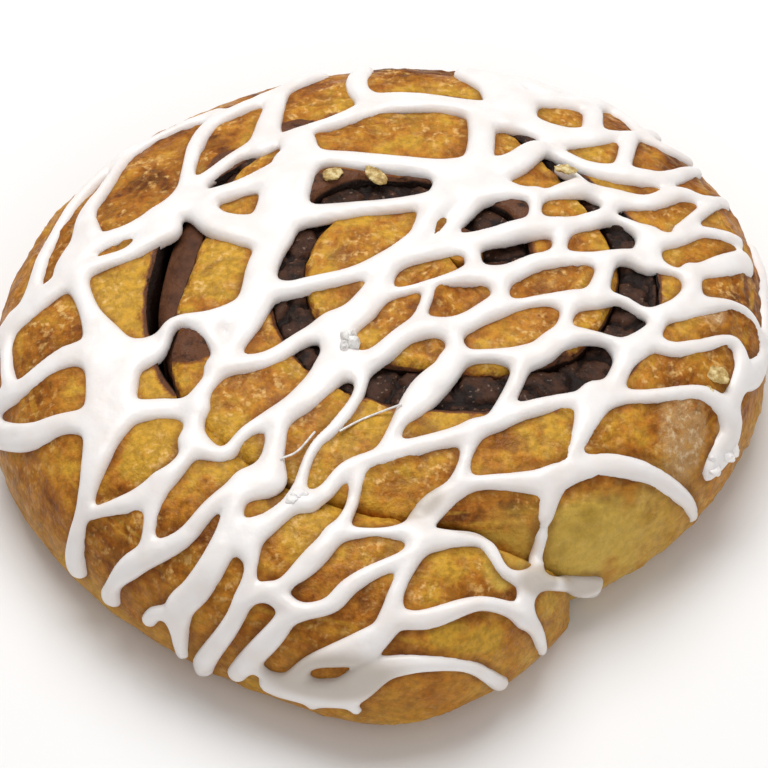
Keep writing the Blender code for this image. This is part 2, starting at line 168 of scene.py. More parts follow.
def place(radius, angle, z):
    """Points at these radii and angles about the middle of the spiral."""
    turn = np.radians(angle)
    x = SPIRAL_MIDDLE[0] + radius * np.cos(turn)
    y = SPIRAL_MIDDLE[1] + radius * np.sin(turn)
    return np.stack([x, y, z + 0 * x], axis=-1)


def top_height(radius, angle):
    """The top of the dough: a low dome, puffed up and down along the strip, that sinks at the tail."""
    x, y, _ = np.moveaxis(place(radius, angle, 0), -1, 0)
    dome = HEIGHT - PUFF - DOME_FALL * (np.hypot(x, y) / DOME_RADIUS) ** DOME_POWER
    puff = sum(share * np.sin(np.radians(waves * angle + start)) for share, waves, start in PUFF_WAVES)
    puff = PUFF * puff * ease(radius, 0, PUFF_START)
    along_tail = np.clip((angle - TAIL_START) / (STRIP_END - TAIL_START), 0, 1)
    return dome + puff - TAIL_DROP * along_tail**TAIL_STEEPNESS


def walls(angle, slot):
    """Radii of the strip's sides: inner top, inner foot, outer top and outer foot. slot is 1 with the
    filling's slot open and 0 with it closed."""

    def half_slot(at):
        half_top = (filling_width(at) / 2 + GAP) * slot
        return half_top, np.minimum((FILLING_LOW_WIDTH / 2 + GAP) * slot, half_top)

    inner = angle - 360
    inner_sides = [np.where(inner > STRIP_START, seam_radius(inner) + half, 0) for half in half_slot(inner)]
    covered = 1 - ease(angle, RIM_START, RIM_FULL)
    outer_sides = [np.maximum(seam_radius(angle) - half * covered, 0) for half in half_slot(angle)]
    return *inner_sides, *outer_sides


def strip_sections(angle, slot, edge_drop, top_points, side_points, under_points):
    """Cross-sections of the strip, each from the foot of its inner side, over the top, to its outer foot."""
    angle = np.asarray(angle, float)
    inner_top, inner_foot, outer_top, outer_foot = walls(angle, slot)
    span = outer_top - inner_top
    rim = ease(angle, RIM_START, RIM_FULL)
    crest = top_height(inner_top + CREST_SHARE * span, angle)
    belly = np.minimum(BELLY, LOW_SHARE * crest)
    undercut = np.minimum(UNDERCUT, LOW_SHARE * span)
    edge_height = top_height(outer_top, angle) - edge_drop
    loop = [place(inner_foot, angle, 0)]

    def add(turn_radius, turn_z, rim_radius, rim_z):
        radius = turn_radius * (1 - rim) + rim_radius * rim
        loop.append(place(radius, angle, turn_z * (1 - rim) + rim_z * rim))

    def outer_wall(z):
        return outer_foot + (outer_top - outer_foot) * z / edge_height

    def rim_curve(quarter):
        z = belly + (crest - belly) * np.maximum(np.cos(quarter), 0) ** RIM_FULLNESS
        return inner_top + span * np.sin(quarter), z

    for t in np.linspace(0, 1, top_points):
        radius = inner_top + span * t
        rounding = 1 - (1 - abs(2 * t - 1) ** EDGE_ROUNDNESS) ** (1 / EDGE_ROUNDNESS)
        rounding = rounding * np.where((t < 0.5) & (angle - 360 <= STRIP_START), 0, 1)
        add(radius, top_height(radius, angle) - edge_drop * rounding, *rim_curve(t * SHOULDER))
    for s in np.linspace(0, 1, side_points + 1)[1:]:
        z = edge_height * (1 - s) + belly * s
        add(outer_wall(z), z, *rim_curve(SHOULDER + s * (np.pi / 2 - SHOULDER)))
    for s in np.linspace(0, 1, under_points + 1)[1:]:
        quarter = s * np.pi / 2
        z = belly * (1 - s)
        add(outer_wall(z), z, outer_top - undercut * (1 - np.cos(quarter)), belly * (1 - np.sin(quarter)))
    return np.stack(loop, axis=1)


def even_stations(start, end, cell):
    """Angles between start and end that are about a cell apart along the seam."""
    angle = np.arange(start, end + STATION_STEP / 2, STATION_STEP)
    along = np.append(0, np.cumsum(seam_radius(angle[1:]) * np.radians(STATION_STEP)))
    count = max(2, round(along[-1] / cell))
    return np.interp(np.linspace(0, along[-1], count), along, angle)


def store(data, label, values):
    """Keeps a number at each point of a mesh or, from an array of three dimensions, a vector."""
    vector = values.ndim == 3
    layer = data.attributes.new(label, "FLOAT_VECTOR" if vector else "FLOAT", "POINT")
    layer.data.foreach_set("vector" if vector else "value", values.astype(np.float32).ravel())


def loft(name, sections, masks):
    """A closed mesh through the sections, with the masks stored at its points."""
    stations, ring = sections.shape[:2]
    here = np.arange(stations * ring).reshape(stations, ring)
    after = np.roll(here, -1, axis=1)
    quads = np.stack([here[:-1], after[:-1], after[1:], here[1:]], axis=-1).reshape(-1, 4)
    data = bpy.data.meshes.new(name)
    faces = [*quads.tolist(), here[0][::-1].tolist(), here[-1].tolist()]
    data.from_pydata((sections + TO_ORIGIN).reshape(-1, 3).tolist(), [], faces)
    for label, values in masks.items():
        store(data, label, np.broadcast_to(values, (stations, ring) + values.shape[2:]))
    mesh = bmesh.new()
    mesh.from_mesh(data)
    bmesh.ops.remove_doubles(mesh, verts=mesh.verts, dist=MERGE_DISTANCE)
    bmesh.ops.recalc_face_normals(mesh, faces=mesh.faces)
    mesh.to_mesh(data)
    mesh.free()
    data.shade_smooth()
    return data


def add_piece(name, data):
    """A piece of the roll, at the origin, with its place in its mesh."""
    piece = bpy.data.objects.new(name, data)
    bpy.context.scene.collection.objects.link(piece)
    return piece


def set_inputs(tree, made, inputs):
    """Sets or links the inputs of a node, which are named or numbered."""
    for key, value in inputs.items():
        if isinstance(value, bpy.types.NodeSocket):
            tree.links.new(value, made.inputs[key])
        else:
            made.inputs[key].default_value = value


def add_node(tree, kind, inputs=None, **settings):
    """A node with its settings made and its inputs set or linked."""
    made = tree.nodes.new(kind)
    for key, value in settings.items():
        setattr(made, key, value)
    set_inputs(tree, made, inputs or {})
    return made


def calc(tree, operation, first, second=0.0):
    return add_node(tree, "ShaderNodeMath", {0: first, 1: second}, operation=operation).outputs[0]


def times(tree, first, second):
    return calc(tree, "MULTIPLY", first, second)


def plus(tree, first, second):
    return calc(tree, "ADD", first, second)


def vector_calc(tree, operation, first, second):
    return add_node(tree, "ShaderNodeVectorMath", {0: first, 1: second}, operation=operation).outputs[0]


def scaled(tree, vector, scale):
    made = add_node(tree, "ShaderNodeVectorMath", {0: vector, "Scale": scale}, operation="SCALE")
    return made.outputs[0]


def noise(tree, vector, scale, detail=2.0, roughness=0.5, output=0):
    """Noise from 0 to 1, of about this scale to the metre, or a colour of three such noises."""
    inputs = {"Vector": vector, "Scale": scale, "Detail": detail, "Roughness": roughness}
    return add_node(tree, "ShaderNodeTexNoise", inputs).outputs[output]


def between(tree, value, low, high, to_low=0.0, to_high=1.0):
    """The value eased from to_low at low to to_high at high."""
    inputs = {0: value, 1: low, 2: high, 3: to_low, 4: to_high}
    return add_node(tree, "ShaderNodeMapRange", inputs, interpolation_type="SMOOTHSTEP").outputs[0]


def named(tree, label, data_type):
    """What is stored under the label at each point."""
    made = add_node(tree, "GeometryNodeInputNamedAttribute", {"Name": label}, data_type=data_type)
    return made.outputs["Attribute"]


def start_tree(name, sizes):
    """A Geometry Nodes tree with a geometry socket each way and a named float input for each size."""
    tree = bpy.data.node_groups.new(name, "GeometryNodeTree")
    tree.interface.new_socket("Geometry", in_out="INPUT", socket_type="NodeSocketGeometry")
    for label in sizes:
        tree.interface.new_socket(label, in_out="INPUT", socket_type="NodeSocketFloat")
    tree.interface.new_socket("Geometry", in_out="OUTPUT", socket_type="NodeSocketGeometry")
    return tree, add_node(tree, "NodeGroupInput").outputs


def end_tree(tree, geometry, material):
    """Ends a tree in realized instances with the material set."""
    real = add_node(tree, "GeometryNodeRealizeInstances", {0: geometry})
    painted = add_node(tree, "GeometryNodeSetMaterial", {"Geometry": real.outputs[0], "Material": material})
    shown = add_node(tree, "GeometryNodeSetShadeSmooth", {"Geometry": painted.outputs[0]})
    add_node(tree, "NodeGroupOutput", {0: shown.outputs[0]})


def grow(piece, tree, sizes):
    """Runs a tree on a piece with these sizes and keeps the result as the piece's plain mesh."""
    modifier = piece.modifiers.new(tree.name, "NODES")
    modifier.node_group = tree
    sockets = {item.name: item.identifier for item in tree.interface.items_tree if item.in_out == "INPUT"}
    for label, value in sizes.items():
        modifier[sockets[label]] = value
    graph = bpy.context.evaluated_depsgraph_get()
    grown = bpy.data.meshes.new_from_object(piece.evaluated_get(graph))
    piece.modifiers.clear()
    piece.data = grown


def rgb(red, green, blue):
    """A colour given as it looks on a screen, 0 to 255, in the linear values that a shader takes."""
    levels = np.array([red, green, blue]) / 255
    linear = np.where(levels <= 0.04045, levels / 12.92, ((levels + 0.055) / 1.055) ** 2.4)
    return (*linear.tolist(), 1.0)


def start_material(name, roughness):
    """A new material with its tree, its Principled shader and the spot on the piece that is being shaded."""
    material = bpy.data.materials.new(name)
    material.use_nodes = True
    tree = material.node_tree
    shader = tree.nodes["Principled BSDF"]
    shader.inputs["Roughness"].default_value = roughness
    return material, tree, shader, add_node(tree, "ShaderNodeTexCoord").outputs["Object"]


def blend(tree, factor, first, second, blend_type="MIX"):
    """The first colour, covered by the second as far as the factor says."""
    inputs = {0: factor, 6: first, 7: second}
    return add_node(tree, "ShaderNodeMix", inputs, data_type="RGBA", blend_type=blend_type).outputs[2]


def attribute(tree, label, output="Fac"):
    """What a material reads of a mask of its piece."""
    return add_node(tree, "ShaderNodeAttribute", attribute_name=label).outputs[output]


def bump(tree, height, distance, strength=1.0):
    inputs = {"Height": height, "Distance": distance, "Strength": strength}
    return add_node(tree, "ShaderNodeBump", inputs).outputs[0]


def ramp(tree, value, stops):
    """A colour that runs through the stops, each a position and a colour."""
    made = add_node(tree, "ShaderNodeValToRGB", {0: value})
    bar = made.color_ramp.elements
    bar.remove(bar[1])
    bar[0].position, bar[0].color = stops[0]
    for position, colour in stops[1:]:
        bar.new(position).color = colour
    return made.outputs[0]


def wave(tree, vector, size, detail, roughness=0.5):
    """Noise about zero, with bumps of this size."""
    swing = noise(tree, vector, calc(tree, "DIVIDE", 1.0, size), detail, roughness)
    return calc(tree, "SUBTRACT", swing, 0.5)


def to_sheet(points):
    """Where points of the roll lie on the icing's sheet."""
    return points[..., :2] * ((SHEET_HEIGHT - FOCUS[2]) / (points[..., 2:] - FOCUS[2]))


def on_spots(points, spots):
    """1 within the spots and 0 outside. Each spot is (x, y, reach along, reach across, turn), in millimetres
    on the icing's sheet and in degrees."""
    sheet = to_sheet(points)
    mask = np.zeros(points.shape[:-1])
    for x, y, along, across, turn in spots:
        aside = sheet - np.array([x, y]) * MM
        c, s = np.cos(np.radians(turn)), np.sin(np.radians(turn))
        forward = aside[..., 0] * c + aside[..., 1] * s
        sideways = aside[..., 1] * c - aside[..., 0] * s
        mask = np.maximum(mask, 1 - ease(np.hypot(forward / along, sideways / across) / MM, 0.55, 1.0))
    return mask


def end_relief(tree, size, relief, height, material):
    """Ends a tree that moves each point along its normal by the height and keeps the relief there for the
    material."""
    stored = add_node(tree, "GeometryNodeStoreNamedAttribute",
                      {"Geometry": size["Geometry"], "Name": "relief", "Value": relief},
                      data_type="FLOAT", domain="POINT")
    offset = scaled(tree, add_node(tree, "GeometryNodeInputNormal").outputs[0], height)
    moved = add_node(tree, "GeometryNodeSetPosition", {"Geometry": stored.outputs[0], "Offset": offset})
    end_tree(tree, moved.outputs[0], material)


def dough_relief(material):
    """Swells, blisters, grain, layers and creases, laid on along the surface's normals by Geometry Nodes."""
    labels = ("Swell size", "Swell height", "Blister size", "Blister height", "Grain size", "Grain height",
              "Layer size", "Layer length", "Layer height", "Crease size", "Crease depth", "Crease low",
              "Crease high", "Stain height", "Base height")
    tree, size = start_tree("dough_relief", labels)
    spot = add_node(tree, "GeometryNodeInputPosition").outputs[0]
    strip = named(tree, "strip", "FLOAT_VECTOR")
    layered = named(tree, "layered", "FLOAT")
    smooth = between(tree, noise(tree, spot, 60.0, 1.0), 0.35, 0.65, 0.55, 1.15)

    swell = times(tree, wave(tree, spot, size["Swell size"], 1.0), size["Swell height"])
    blister = times(tree, wave(tree, spot, size["Blister size"], 2.0), size["Blister height"])
    grain = times(tree, wave(tree, spot, size["Grain size"], 2.0, 0.6), size["Grain height"])
    grain = times(tree, plus(tree, blister, grain), smooth)
    stretch = calc(tree, "DIVIDE", size["Layer size"], size["Layer length"])
    squeezed = add_node(tree, "ShaderNodeCombineXYZ", {0: stretch, 1: 1.0, 2: 1.0}).outputs[0]
    along = vector_calc(tree, "MULTIPLY", strip, squeezed)
    layer = times(tree, wave(tree, along, size["Layer size"], 2.0), size["Layer height"])
    layer = times(tree, layer, layered)
    bent = vector_calc(tree, "ADD", vector_calc(tree, "MULTIPLY", strip, (0.55, 1.0, 1.0)),
                       scaled(tree, spot, 0.3))
    ridge = calc(tree, "ABSOLUTE", wave(tree, bent, size["Crease size"], 2.0, 0.6))
    lift = add_node(tree, "ShaderNodeSeparateXYZ", {0: spot}).outputs["Z"]
    folded = times(tree, between(tree, noise(tree, spot, 80.0, 1.0), 0.46, 0.6),
                   between(tree, lift, size["Crease low"], size["Crease high"]))
    crease = times(tree, between(tree, ridge, 0.0, 0.05, 1.0, 0.0), folded)
    crease = times(tree, crease, size["Crease depth"])
    texture = calc(tree, "SUBTRACT", plus(tree, grain, layer), crease)
    stain = times(tree, named(tree, "stain_and_gap_shade", "FLOAT"), size["Stain height"])
    height = plus(tree, plus(tree, swell, texture), stain)
    height = times(tree, height, between(tree, lift, 0.0, size["Base height"]))
    end_relief(tree, size, texture, height, material)
    return tree


# Colours of the bake and a painted highlight, then of the flour and of the filling that stained the dough
DOUGH_YELLOW = rgb(198, 150, 48)
DOUGH_GOLD = rgb(184, 121, 38)
DOUGH_BROWN = rgb(152, 88, 20)
# The darkest crust, which also paints shade in the hollows and beside the icing
DOUGH_DARK_AND_SHADE = rgb(104, 54, 12)
# A painted highlight, for the light glints on the glaze
DOUGH_HIGHLIGHT = rgb(238, 192, 118)
DOUGH_PALE = rgb(206, 172, 78)
DOUGH_OLIVE = rgb(176, 142, 54)
FLOUR = rgb(220, 192, 152)
FLOUR_TAN = rgb(190, 148, 98)
# The filling's black, which also paints shade in the gaps at the slots' walls and in the filling's cracks
FILLING_BLACK_AND_SHADE = rgb(28, 15, 9)
FILLING_SMEAR = rgb(100, 62, 40)
STAIN_RED = rgb(128, 66, 34)

dough_material, tree, shader, spot = start_material("baked_dough", 0.48)
height = add_node(tree, "ShaderNodeSeparateXYZ", {0: spot}).outputs["Z"]
# The bake, in patches and mottles, with the edges of pale layers
patch = times(tree, calc(tree, "SUBTRACT", noise(tree, spot, 85.0, 2.0), 0.5), 1.3)
mottle = calc(tree, "SUBTRACT", noise(tree, spot, 340.0, 3.0, 0.6), 0.48)
mottle = times(tree, mottle, between(tree, height, 12 * MM, 24 * MM, 0.8, 1.6))
baked = plus(tree, attribute(tree, "baked"), plus(tree, patch, mottle))
colour = ramp(tree, baked, [(0.0, DOUGH_YELLOW), (0.4, DOUGH_GOLD), (0.75, DOUGH_BROWN), (1.0, DOUGH_DARK_AND_SHADE)])
strip = attribute(tree, "strip", "Vector")
streak = noise(tree, vector_calc(tree, "MULTIPLY", strip, (110.0, 800.0, 1.0)), 1.0, 2.0)
streak = times(tree, between(tree, streak, 0.45, 0.62), attribute(tree, "layered"))
colour = blend(tree, times(tree, streak, 0.55), colour, DOUGH_YELLOW)
pale = ramp(tree, noise(tree, spot, 95.0, 3.0, 0.55), [(0.3, DOUGH_OLIVE), (0.44, DOUGH_PALE),
                                                      (0.52, DOUGH_PALE), (0.66, DOUGH_GOLD)])
colour = blend(tree, attribute(tree, "pale"), colour, pale)
# Fine grain, painted highlights as light flecks, and painted shade in hollows and beside the icing, partly a
# damp edge
grain = between(tree, noise(tree, spot, 950.0, 2.0, 0.6), 0.3, 0.7, 0.74, 1.2)
coarse = calc(tree, "SUBTRACT", 0.85, times(tree, attribute(tree, "pale"), 0.55))
colour = blend(tree, coarse, colour, blend(tree, 1.0, colour, grain, "MULTIPLY"))
# Light flecks, painted highlights of the glaze, fewer low on the side and on the pale wall
painted_highlight = between(tree, noise(tree, spot, 820.0, 2.0, 0.6), 0.5, 0.74, 0.0, 0.85)
painted_highlight = times(tree, painted_highlight, between(tree, noise(tree, spot, 120.0, 1.0), 0.42, 0.6, 0.15, 1.0))
painted_highlight = times(tree, painted_highlight, between(tree, attribute(tree, "pale"), 0.3, 0.9, 1.0, 0.3))
painted_highlight = times(tree, painted_highlight, between(tree, height, 12 * MM, 26 * MM, 0.35, 1.0))
colour = blend(tree, painted_highlight, colour, DOUGH_HIGHLIGHT)
# Painted shade: the hollows of the relief are darkened, most near the top
hollow_shade = between(tree, attribute(tree, "relief"), -0.02 * MM, -0.4 * MM, 0.0, 0.55)
hollow_shade = times(tree, hollow_shade, between(tree, height, 8 * MM, 24 * MM, 0.3, 1.0))
colour = blend(tree, hollow_shade, colour, DOUGH_DARK_AND_SHADE)
# Painted contact shade, partly a damp edge, darkens the dough beside the icing in patches
contact_shade_beside_icing = between(tree, noise(tree, spot, 160.0, 2.0), 0.35, 0.65, 0.25, 0.7)
colour = blend(tree, times(tree, attribute(tree, "contact_shade_beside_icing"), contact_shade_beside_icing), colour, DOUGH_DARK_AND_SHADE)
# Flour, in a tan haze and pale grains
floury = attribute(tree, "floury")
haze = between(tree, noise(tree, spot, 500.0, 3.0, 0.65), 0.3, 0.55, 0.2, 0.85)
colour = blend(tree, times(tree, floury, haze), colour, FLOUR_TAN)
dust = between(tree, noise(tree, spot, 900.0, 3.0, 0.65), 0.48, 0.68, 0.0, 0.85)
colour = blend(tree, times(tree, floury, dust), colour, FLOUR)
# Filling that soaked in round its slots and smeared over them; near-black walls, part filling, part painted
# shade
ragged = times(tree, calc(tree, "SUBTRACT", noise(tree, spot, 380.0, 3.0, 0.6), 0.5), 1.2)
stain_and_gap_shade = plus(tree, attribute(tree, "stain_and_gap_shade"), ragged)
colour = blend(tree, between(tree, stain_and_gap_shade, 0.3, 0.5, 0.0, 0.75), colour, STAIN_RED)
smeared = between(tree, noise(tree, spot, 480.0, 3.0, 0.6), 0.28, 0.5)
smeared = blend(tree, smeared, FILLING_BLACK_AND_SHADE, FILLING_SMEAR)
colour = blend(tree, between(tree, stain_and_gap_shade, 0.5, 0.66), colour, smeared)
# Painted shade: walls marked above 1 turn near-black, the dark gap between filling and dough, partly filling
colour = blend(tree, between(tree, attribute(tree, "stain_and_gap_shade"), 1.02, 1.12), colour, FILLING_BLACK_AND_SHADE)
pores = plus(tree, noise(tree, spot, 700.0, 3.0, 0.6), times(tree, noise(tree, spot, 1900.0, 2.0), 0.45))
set_inputs(tree, shader, {
    "Base Color": colour, "Roughness": between(tree, noise(tree, spot, 300.0, 3.0), 0.35, 0.65, 0.36, 0.62),
    "Normal": bump(tree, pores, 0.4 * MM), "Specular IOR Level": 0.16, "Subsurface Weight": 0.1,
    "Subsurface Radius": (1.0, 0.5, 0.2), "Subsurface Scale": 0.8 * MM,
})

# Patches, each (x, y, reach along, reach across, turn) in mm on the icing's sheet
STAINS = [(-29.5, -5.4, 5.4, 4.4, -25), (-8, 27.4, 9, 4.6, 8), (5.5, 28.6, 4.6, 3, 0),
          (17.6, 21.6, 7.4, 4.6, 10), (12.4, 17, 2.4, 2, 0), (25, -7.6, 4, 2.6, 30),
          (-14.5, 45.2, 5, 1.8, 10), (-26.6, 37, 4, 1.7, 45)]
FLOURY_PATCHES = [(50, -19, 7, 9, 30), (53, 5.6, 4, 3.6, 0), (61, -12, 5, 3, 60)]
DARK_PATCHES = [(14, -35, 8, 4, 0), (17, -36, 9, 4, 0), (8, 68, 17, 8, -5), (-38, 32, 11, 7, 50),
                (-28, 43, 9, 6, 50), (-15, 58, 10, 7, 30), (-26, 56, 9, 6, 40), (-12, -51, 6, 3, 40),
                (53, 45, 6, 5, -50), (44, -8, 7, 4, 0)]
PALE_PATCHES = [(20.5, -43, 8, 4.6, -20), (18.5, -48, 3, 4, 30)]
YELLOW_PATCHES = [(19, -46.5, 3.2, 5, 30), (-43.5, 5.5, 6, 9, 0), (-24.5, 10, 5, 9, 0), (-14, -30, 6, 3, -30),
                  (14, -60.5, 10, 4.4, -8), (31, -54, 4, 5, 0), (-37, -25, 5, 8, -20)]

stations = even_stations(STRIP_START, STRIP_END, DOUGH_CELL)
sections = strip_sections(stations, 1, EDGE_DROP, DOUGH_TOP_POINTS, DOUGH_SIDE_POINTS, DOUGH_UNDER_POINTS)
ring = sections.shape[1]
angle = np.repeat(stations[:, None], ring, axis=1)
across = np.append(np.zeros((len(stations), 1)), np.linalg.norm(np.diff(sections, axis=1), axis=2), axis=1)
across = np.cumsum(across, axis=1)
along = np.append(0, np.cumsum(np.linalg.norm(np.diff(sections[:, ring // 2], axis=0), axis=1)))
strip = np.stack([np.repeat(along[:, None], ring, axis=1), across, 0 * across], axis=-1)
# The number of each point from the inner edge of the top, where it is 0, outwards and on down the side
number = np.arange(ring)[None, :] - 1
top_share = np.clip(number / (DOUGH_TOP_POINTS - 1), 0, 1)
on_top = (number >= 0) & (number < DOUGH_TOP_POINTS)
tucked = (1 - ease(number, 0, TUCK_POINTS)) * (number >= 0) * ease(angle, TUCK_START, TUCK_FULL)
sections[..., 2] -= TUCK * tucked
# How far each point is baked, from 0, pale, to 1, dark: further on the crowns and the rim, and less low on
# the side; it is also a little darker towards the back
low = 1 - ease(sections[..., 2], 7 * MM, 15 * MM)
outer = ease(angle, RIM_START, RIM_FULL)
crown = 1 - ease(abs(2 * top_share - 1), 0.2, 0.95)
baked = 0.12 + 0.22 * crown + outer * (0.5 * ease(top_share, 0.35, 1.0) - 0.1)
baked = baked + 0.06 * ease(sections[..., 1], -20 * MM, 10 * MM) - 0.12 * low
baked = baked + 0.4 * on_spots(sections, DARK_PATCHES) - 0.5 * on_spots(sections, YELLOW_PATCHES)
# Where it stayed pale: in patches, on the wall of the notch and a little low on the side
notch_wall = ease(angle, NOTCH_START, NOTCH_FULL) * (1 - ease(angle, NOTCH_FADE, NOTCH_END))
notch_wall = notch_wall * ease(top_share, 0.74, 1.0)
pale = np.maximum(0.95 * notch_wall, 0.2 * low * ease(angle, 640, 700))
pale = np.maximum(pale, 0.9 * on_spots(sections, PALE_PATCHES))
# The layers show most at the edges of the top; the filling stained the edges of its slot and, with painted
# shade, darkens its walls
edge = np.where(on_top, ease(abs(2 * top_share - 1), 0.45, 0.95), 0.0)
between_turns = [(at > FILLING_START) & (at < FILLING_END) for at in (angle - 360, angle)]
inner_edge = (1 - ease(number, 0.5, 4)) * between_turns[0]
outer_edge = ease(number, DOUGH_TOP_POINTS - 5, DOUGH_TOP_POINTS) * between_turns[1]
edge_stain_and_gap_shade = np.where(on_top & (number > 0), 0.42, 1.2) * np.maximum(inner_edge, outer_edge)
masks = {
    "strip": strip,
    "layered": np.where(on_top, 0.25 + 0.75 * edge, 0.35),
    "baked": baked,
    "pale": pale,
    "floury": on_spots(sections, FLOURY_PATCHES),
    "stain_and_gap_shade": np.maximum(on_spots(sections, STAINS), edge_stain_and_gap_shade),
}
dough = add_piece("strip_of_dough", loft("strip_of_dough", sections, masks))
DOUGH_RELIEF = {
    "Swell size": 16 * MM, "Swell height": 1.3 * MM, "Blister size": 3.4 * MM, "Blister height": 1.0 * MM,
    "Grain size": 1.5 * MM, "Grain height": 0.5 * MM, "Layer size": 1.4 * MM, "Layer length": 12 * MM,
    "Layer height": 0.6 * MM, "Crease size": 9 * MM, "Crease depth": 0.3 * MM, "Crease low": 10 * MM,
    "Crease high": 22 * MM, "Stain height": 0.3 * MM, "Base height": 5 * MM,
}
grow(dough, dough_relief(dough_material), DOUGH_RELIEF)
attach(dough, "root")
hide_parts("dough")


# The filling. A dark paste of cinnamon and cocoa lies between the turns of the strip, lumpy where it dried
# and smooth where it smeared at the left. It is lofted in the strip's slot, from the top down to the
# underside, and lumped by Geometry Nodes.

# How far the filling's top lies below the turns beside it, how far its foot is off the table, and how
# finely it is lofted
FILLING_DEPTH = 1.9 * MM
FILLING_LIFT = 0.5 * MM
FILLING_CELL = 0.4 * MM
FILLING_TOP_POINTS = 20
# Its top bulges between the turns, but where it smeared it slants down from the inner turn and leaves a gap
# at the outer one
FILLING_CROWN = 0.4 * MM
SMEAR_START = 500
SMEAR_END = 592
SMEAR_FADE = 20
SMEAR_GAP = 1.4 * MM
SMEAR_RISE = 0.5 * MM
SMEAR_SLANT = 1.6 * MM
FILLING_BROWN = rgb(70, 42, 27)
FILLING_GLINT = rgb(140, 114, 98)

filling_material, tree, shader, spot = start_material("cinnamon_filling", 0.6)
paste = between(tree, noise(tree, spot, 420.0, 4.0, 0.6), 0.34, 0.6)
colour = blend(tree, paste, FILLING_BLACK_AND_SHADE, FILLING_BROWN)
glint = between(tree, noise(tree, spot, 1300.0, 2.0), 0.62, 0.74, 0.0, 0.6)
colour = blend(tree, glint, colour, FILLING_GLINT)
# Painted shade: the cracks between the lumps are darkened
colour = blend(tree, between(tree, attribute(tree, "relief"), 0.75, 0.1), colour, FILLING_BLACK_AND_SHADE)
smooth = between(tree, noise(tree, spot, 260.0, 3.0), 0.3, 0.6)
colour = blend(tree, attribute(tree, "smeared"), colour, blend(tree, smooth, FILLING_BROWN, FILLING_SMEAR))
grit = bump(tree, noise(tree, spot, 900.0, 4.0, 0.65), 0.35 * MM)
set_inputs(tree, shader, {"Base Color": colour, "Normal": grit, "Specular IOR Level": 0.2})


def lump_relief(material):
    """Lumps with narrow, dark cracks between them, laid on along the surface's normals by Geometry Nodes."""
    labels = ("Lump size", "Lump height", "Lump swing", "Grain size", "Grain height")
    tree, size = start_tree("filling_relief", labels)
    spot = add_node(tree, "GeometryNodeInputPosition").outputs[0]
    bent = vector_calc(tree, "ADD", spot, scaled(tree, noise(tree, spot, 500.0, output="Color"), 2.6 * MM))
    cells = {"Vector": bent, "Scale": calc(tree, "DIVIDE", 1.0, size["Lump size"])}
    gap = add_node(tree, "ShaderNodeTexVoronoi", cells, feature="DISTANCE_TO_EDGE").outputs["Distance"]
    own = add_node(tree, "ShaderNodeTexVoronoi", cells, feature="F1").outputs["Color"]
    own = add_node(tree, "ShaderNodeSeparateXYZ", {0: own}).outputs["X"]
    whole = between(tree, gap, 0.0, 0.13)
    lump = times(tree, whole, plus(tree, times(tree, own, size["Lump swing"]), size["Lump height"]))
    grain = times(tree, wave(tree, spot, size["Grain size"], 3.0, 0.6), size["Grain height"])
    height = times(tree, plus(tree, lump, grain), named(tree, "rough", "FLOAT"))
    end_relief(tree, size, whole, height, material)
    return tree


def filling_sections(angle):
    """Cross-sections of the filling in its slot. Where it smeared, it leans on the inner turn."""
    _, _, near_top, near_foot = walls(angle, 1)
    far_top, far_foot, _, _ = walls(angle + 360, 1)
    rim = ease(angle, RIM_START, RIM_FULL)
    near_edge = top_height(near_top, angle) - EDGE_DROP
    far_edge = top_height(far_top, angle + 360) - EDGE_DROP
    top = np.minimum(near_edge, far_edge) - (FILLING_DEPTH - EDGE_DROP)
    smear = ease(angle, SMEAR_START, SMEAR_START + SMEAR_FADE)
    smear = smear * (1 - ease(angle, SMEAR_END - SMEAR_FADE, SMEAR_END))

    def near_wall(z):
        line = near_foot + (near_top - near_foot) * z / near_edge
        return line * (1 - rim) + np.maximum(near_top, near_foot) * rim + GAP

    def far_wall(z):
        line = far_foot + (far_top - far_foot) * z / far_edge
        return line - GAP - SMEAR_GAP * smear * ease(z, 0, HEIGHT / 2)

    middle = top / 2
    loop = [place(near_wall(z), angle, z) for z in (FILLING_LIFT, middle)]
    for t in np.linspace(0, 1, FILLING_TOP_POINTS):
        crown = FILLING_CROWN * np.sin(np.pi * t) * (1 - smear)
        z = top + SMEAR_RISE * smear - SMEAR_SLANT * smear * t**2 + crown
        loop.append(place(near_wall(z) * (1 - t) + far_wall(z) * t, angle, z))
    loop += [place(far_wall(z), angle, z) for z in (middle, FILLING_LIFT)]
    return np.stack(loop, axis=1), smear


stations = even_stations(FILLING_START, FILLING_END, FILLING_CELL)
sections, smear = filling_sections(stations)
ring = sections.shape[1]
smear = np.repeat(smear[:, None], ring, axis=1)
# Rough on top, except where it smeared, and less so at the middle of the roll
raised = np.zeros((len(stations), ring))
raised[:, 3:-3] = 1
middle_calm = 0.35 + 0.65 * ease(stations, 70, 140)[:, None]
masks = {"rough": raised * (1 - 0.9 * smear) * middle_calm, "smeared": smear}
filling = add_piece("cinnamon_filling", loft("cinnamon_filling", sections, masks))
FILLING_RELIEF = {
    "Lump size": 6.4 * MM, "Lump height": 0.6 * MM, "Lump swing": 0.5 * MM, "Grain size": 1.3 * MM,
    "Grain height": 0.7 * MM,
}
grow(filling, lump_relief(filling_material), FILLING_RELIEF)
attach(filling, "root")
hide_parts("filling")


# The icing. White sugar icing was drizzled over the roll from a spoon, in strands that ran together into a
# web and down over the rim. The routes are drawn on a level sheet, which falls towards a focus under the roll
# until it meets the dough. Geometry Nodes turn the web on the sheet into one rounded body and drape it.

# The sheet reaches so far from its middle each way, in cells of this size, and falls from above the roll
SHEET_REACH = 90 * MM
SHEET_CELL = 0.5 * MM
FALL_HEIGHT = 200 * MM
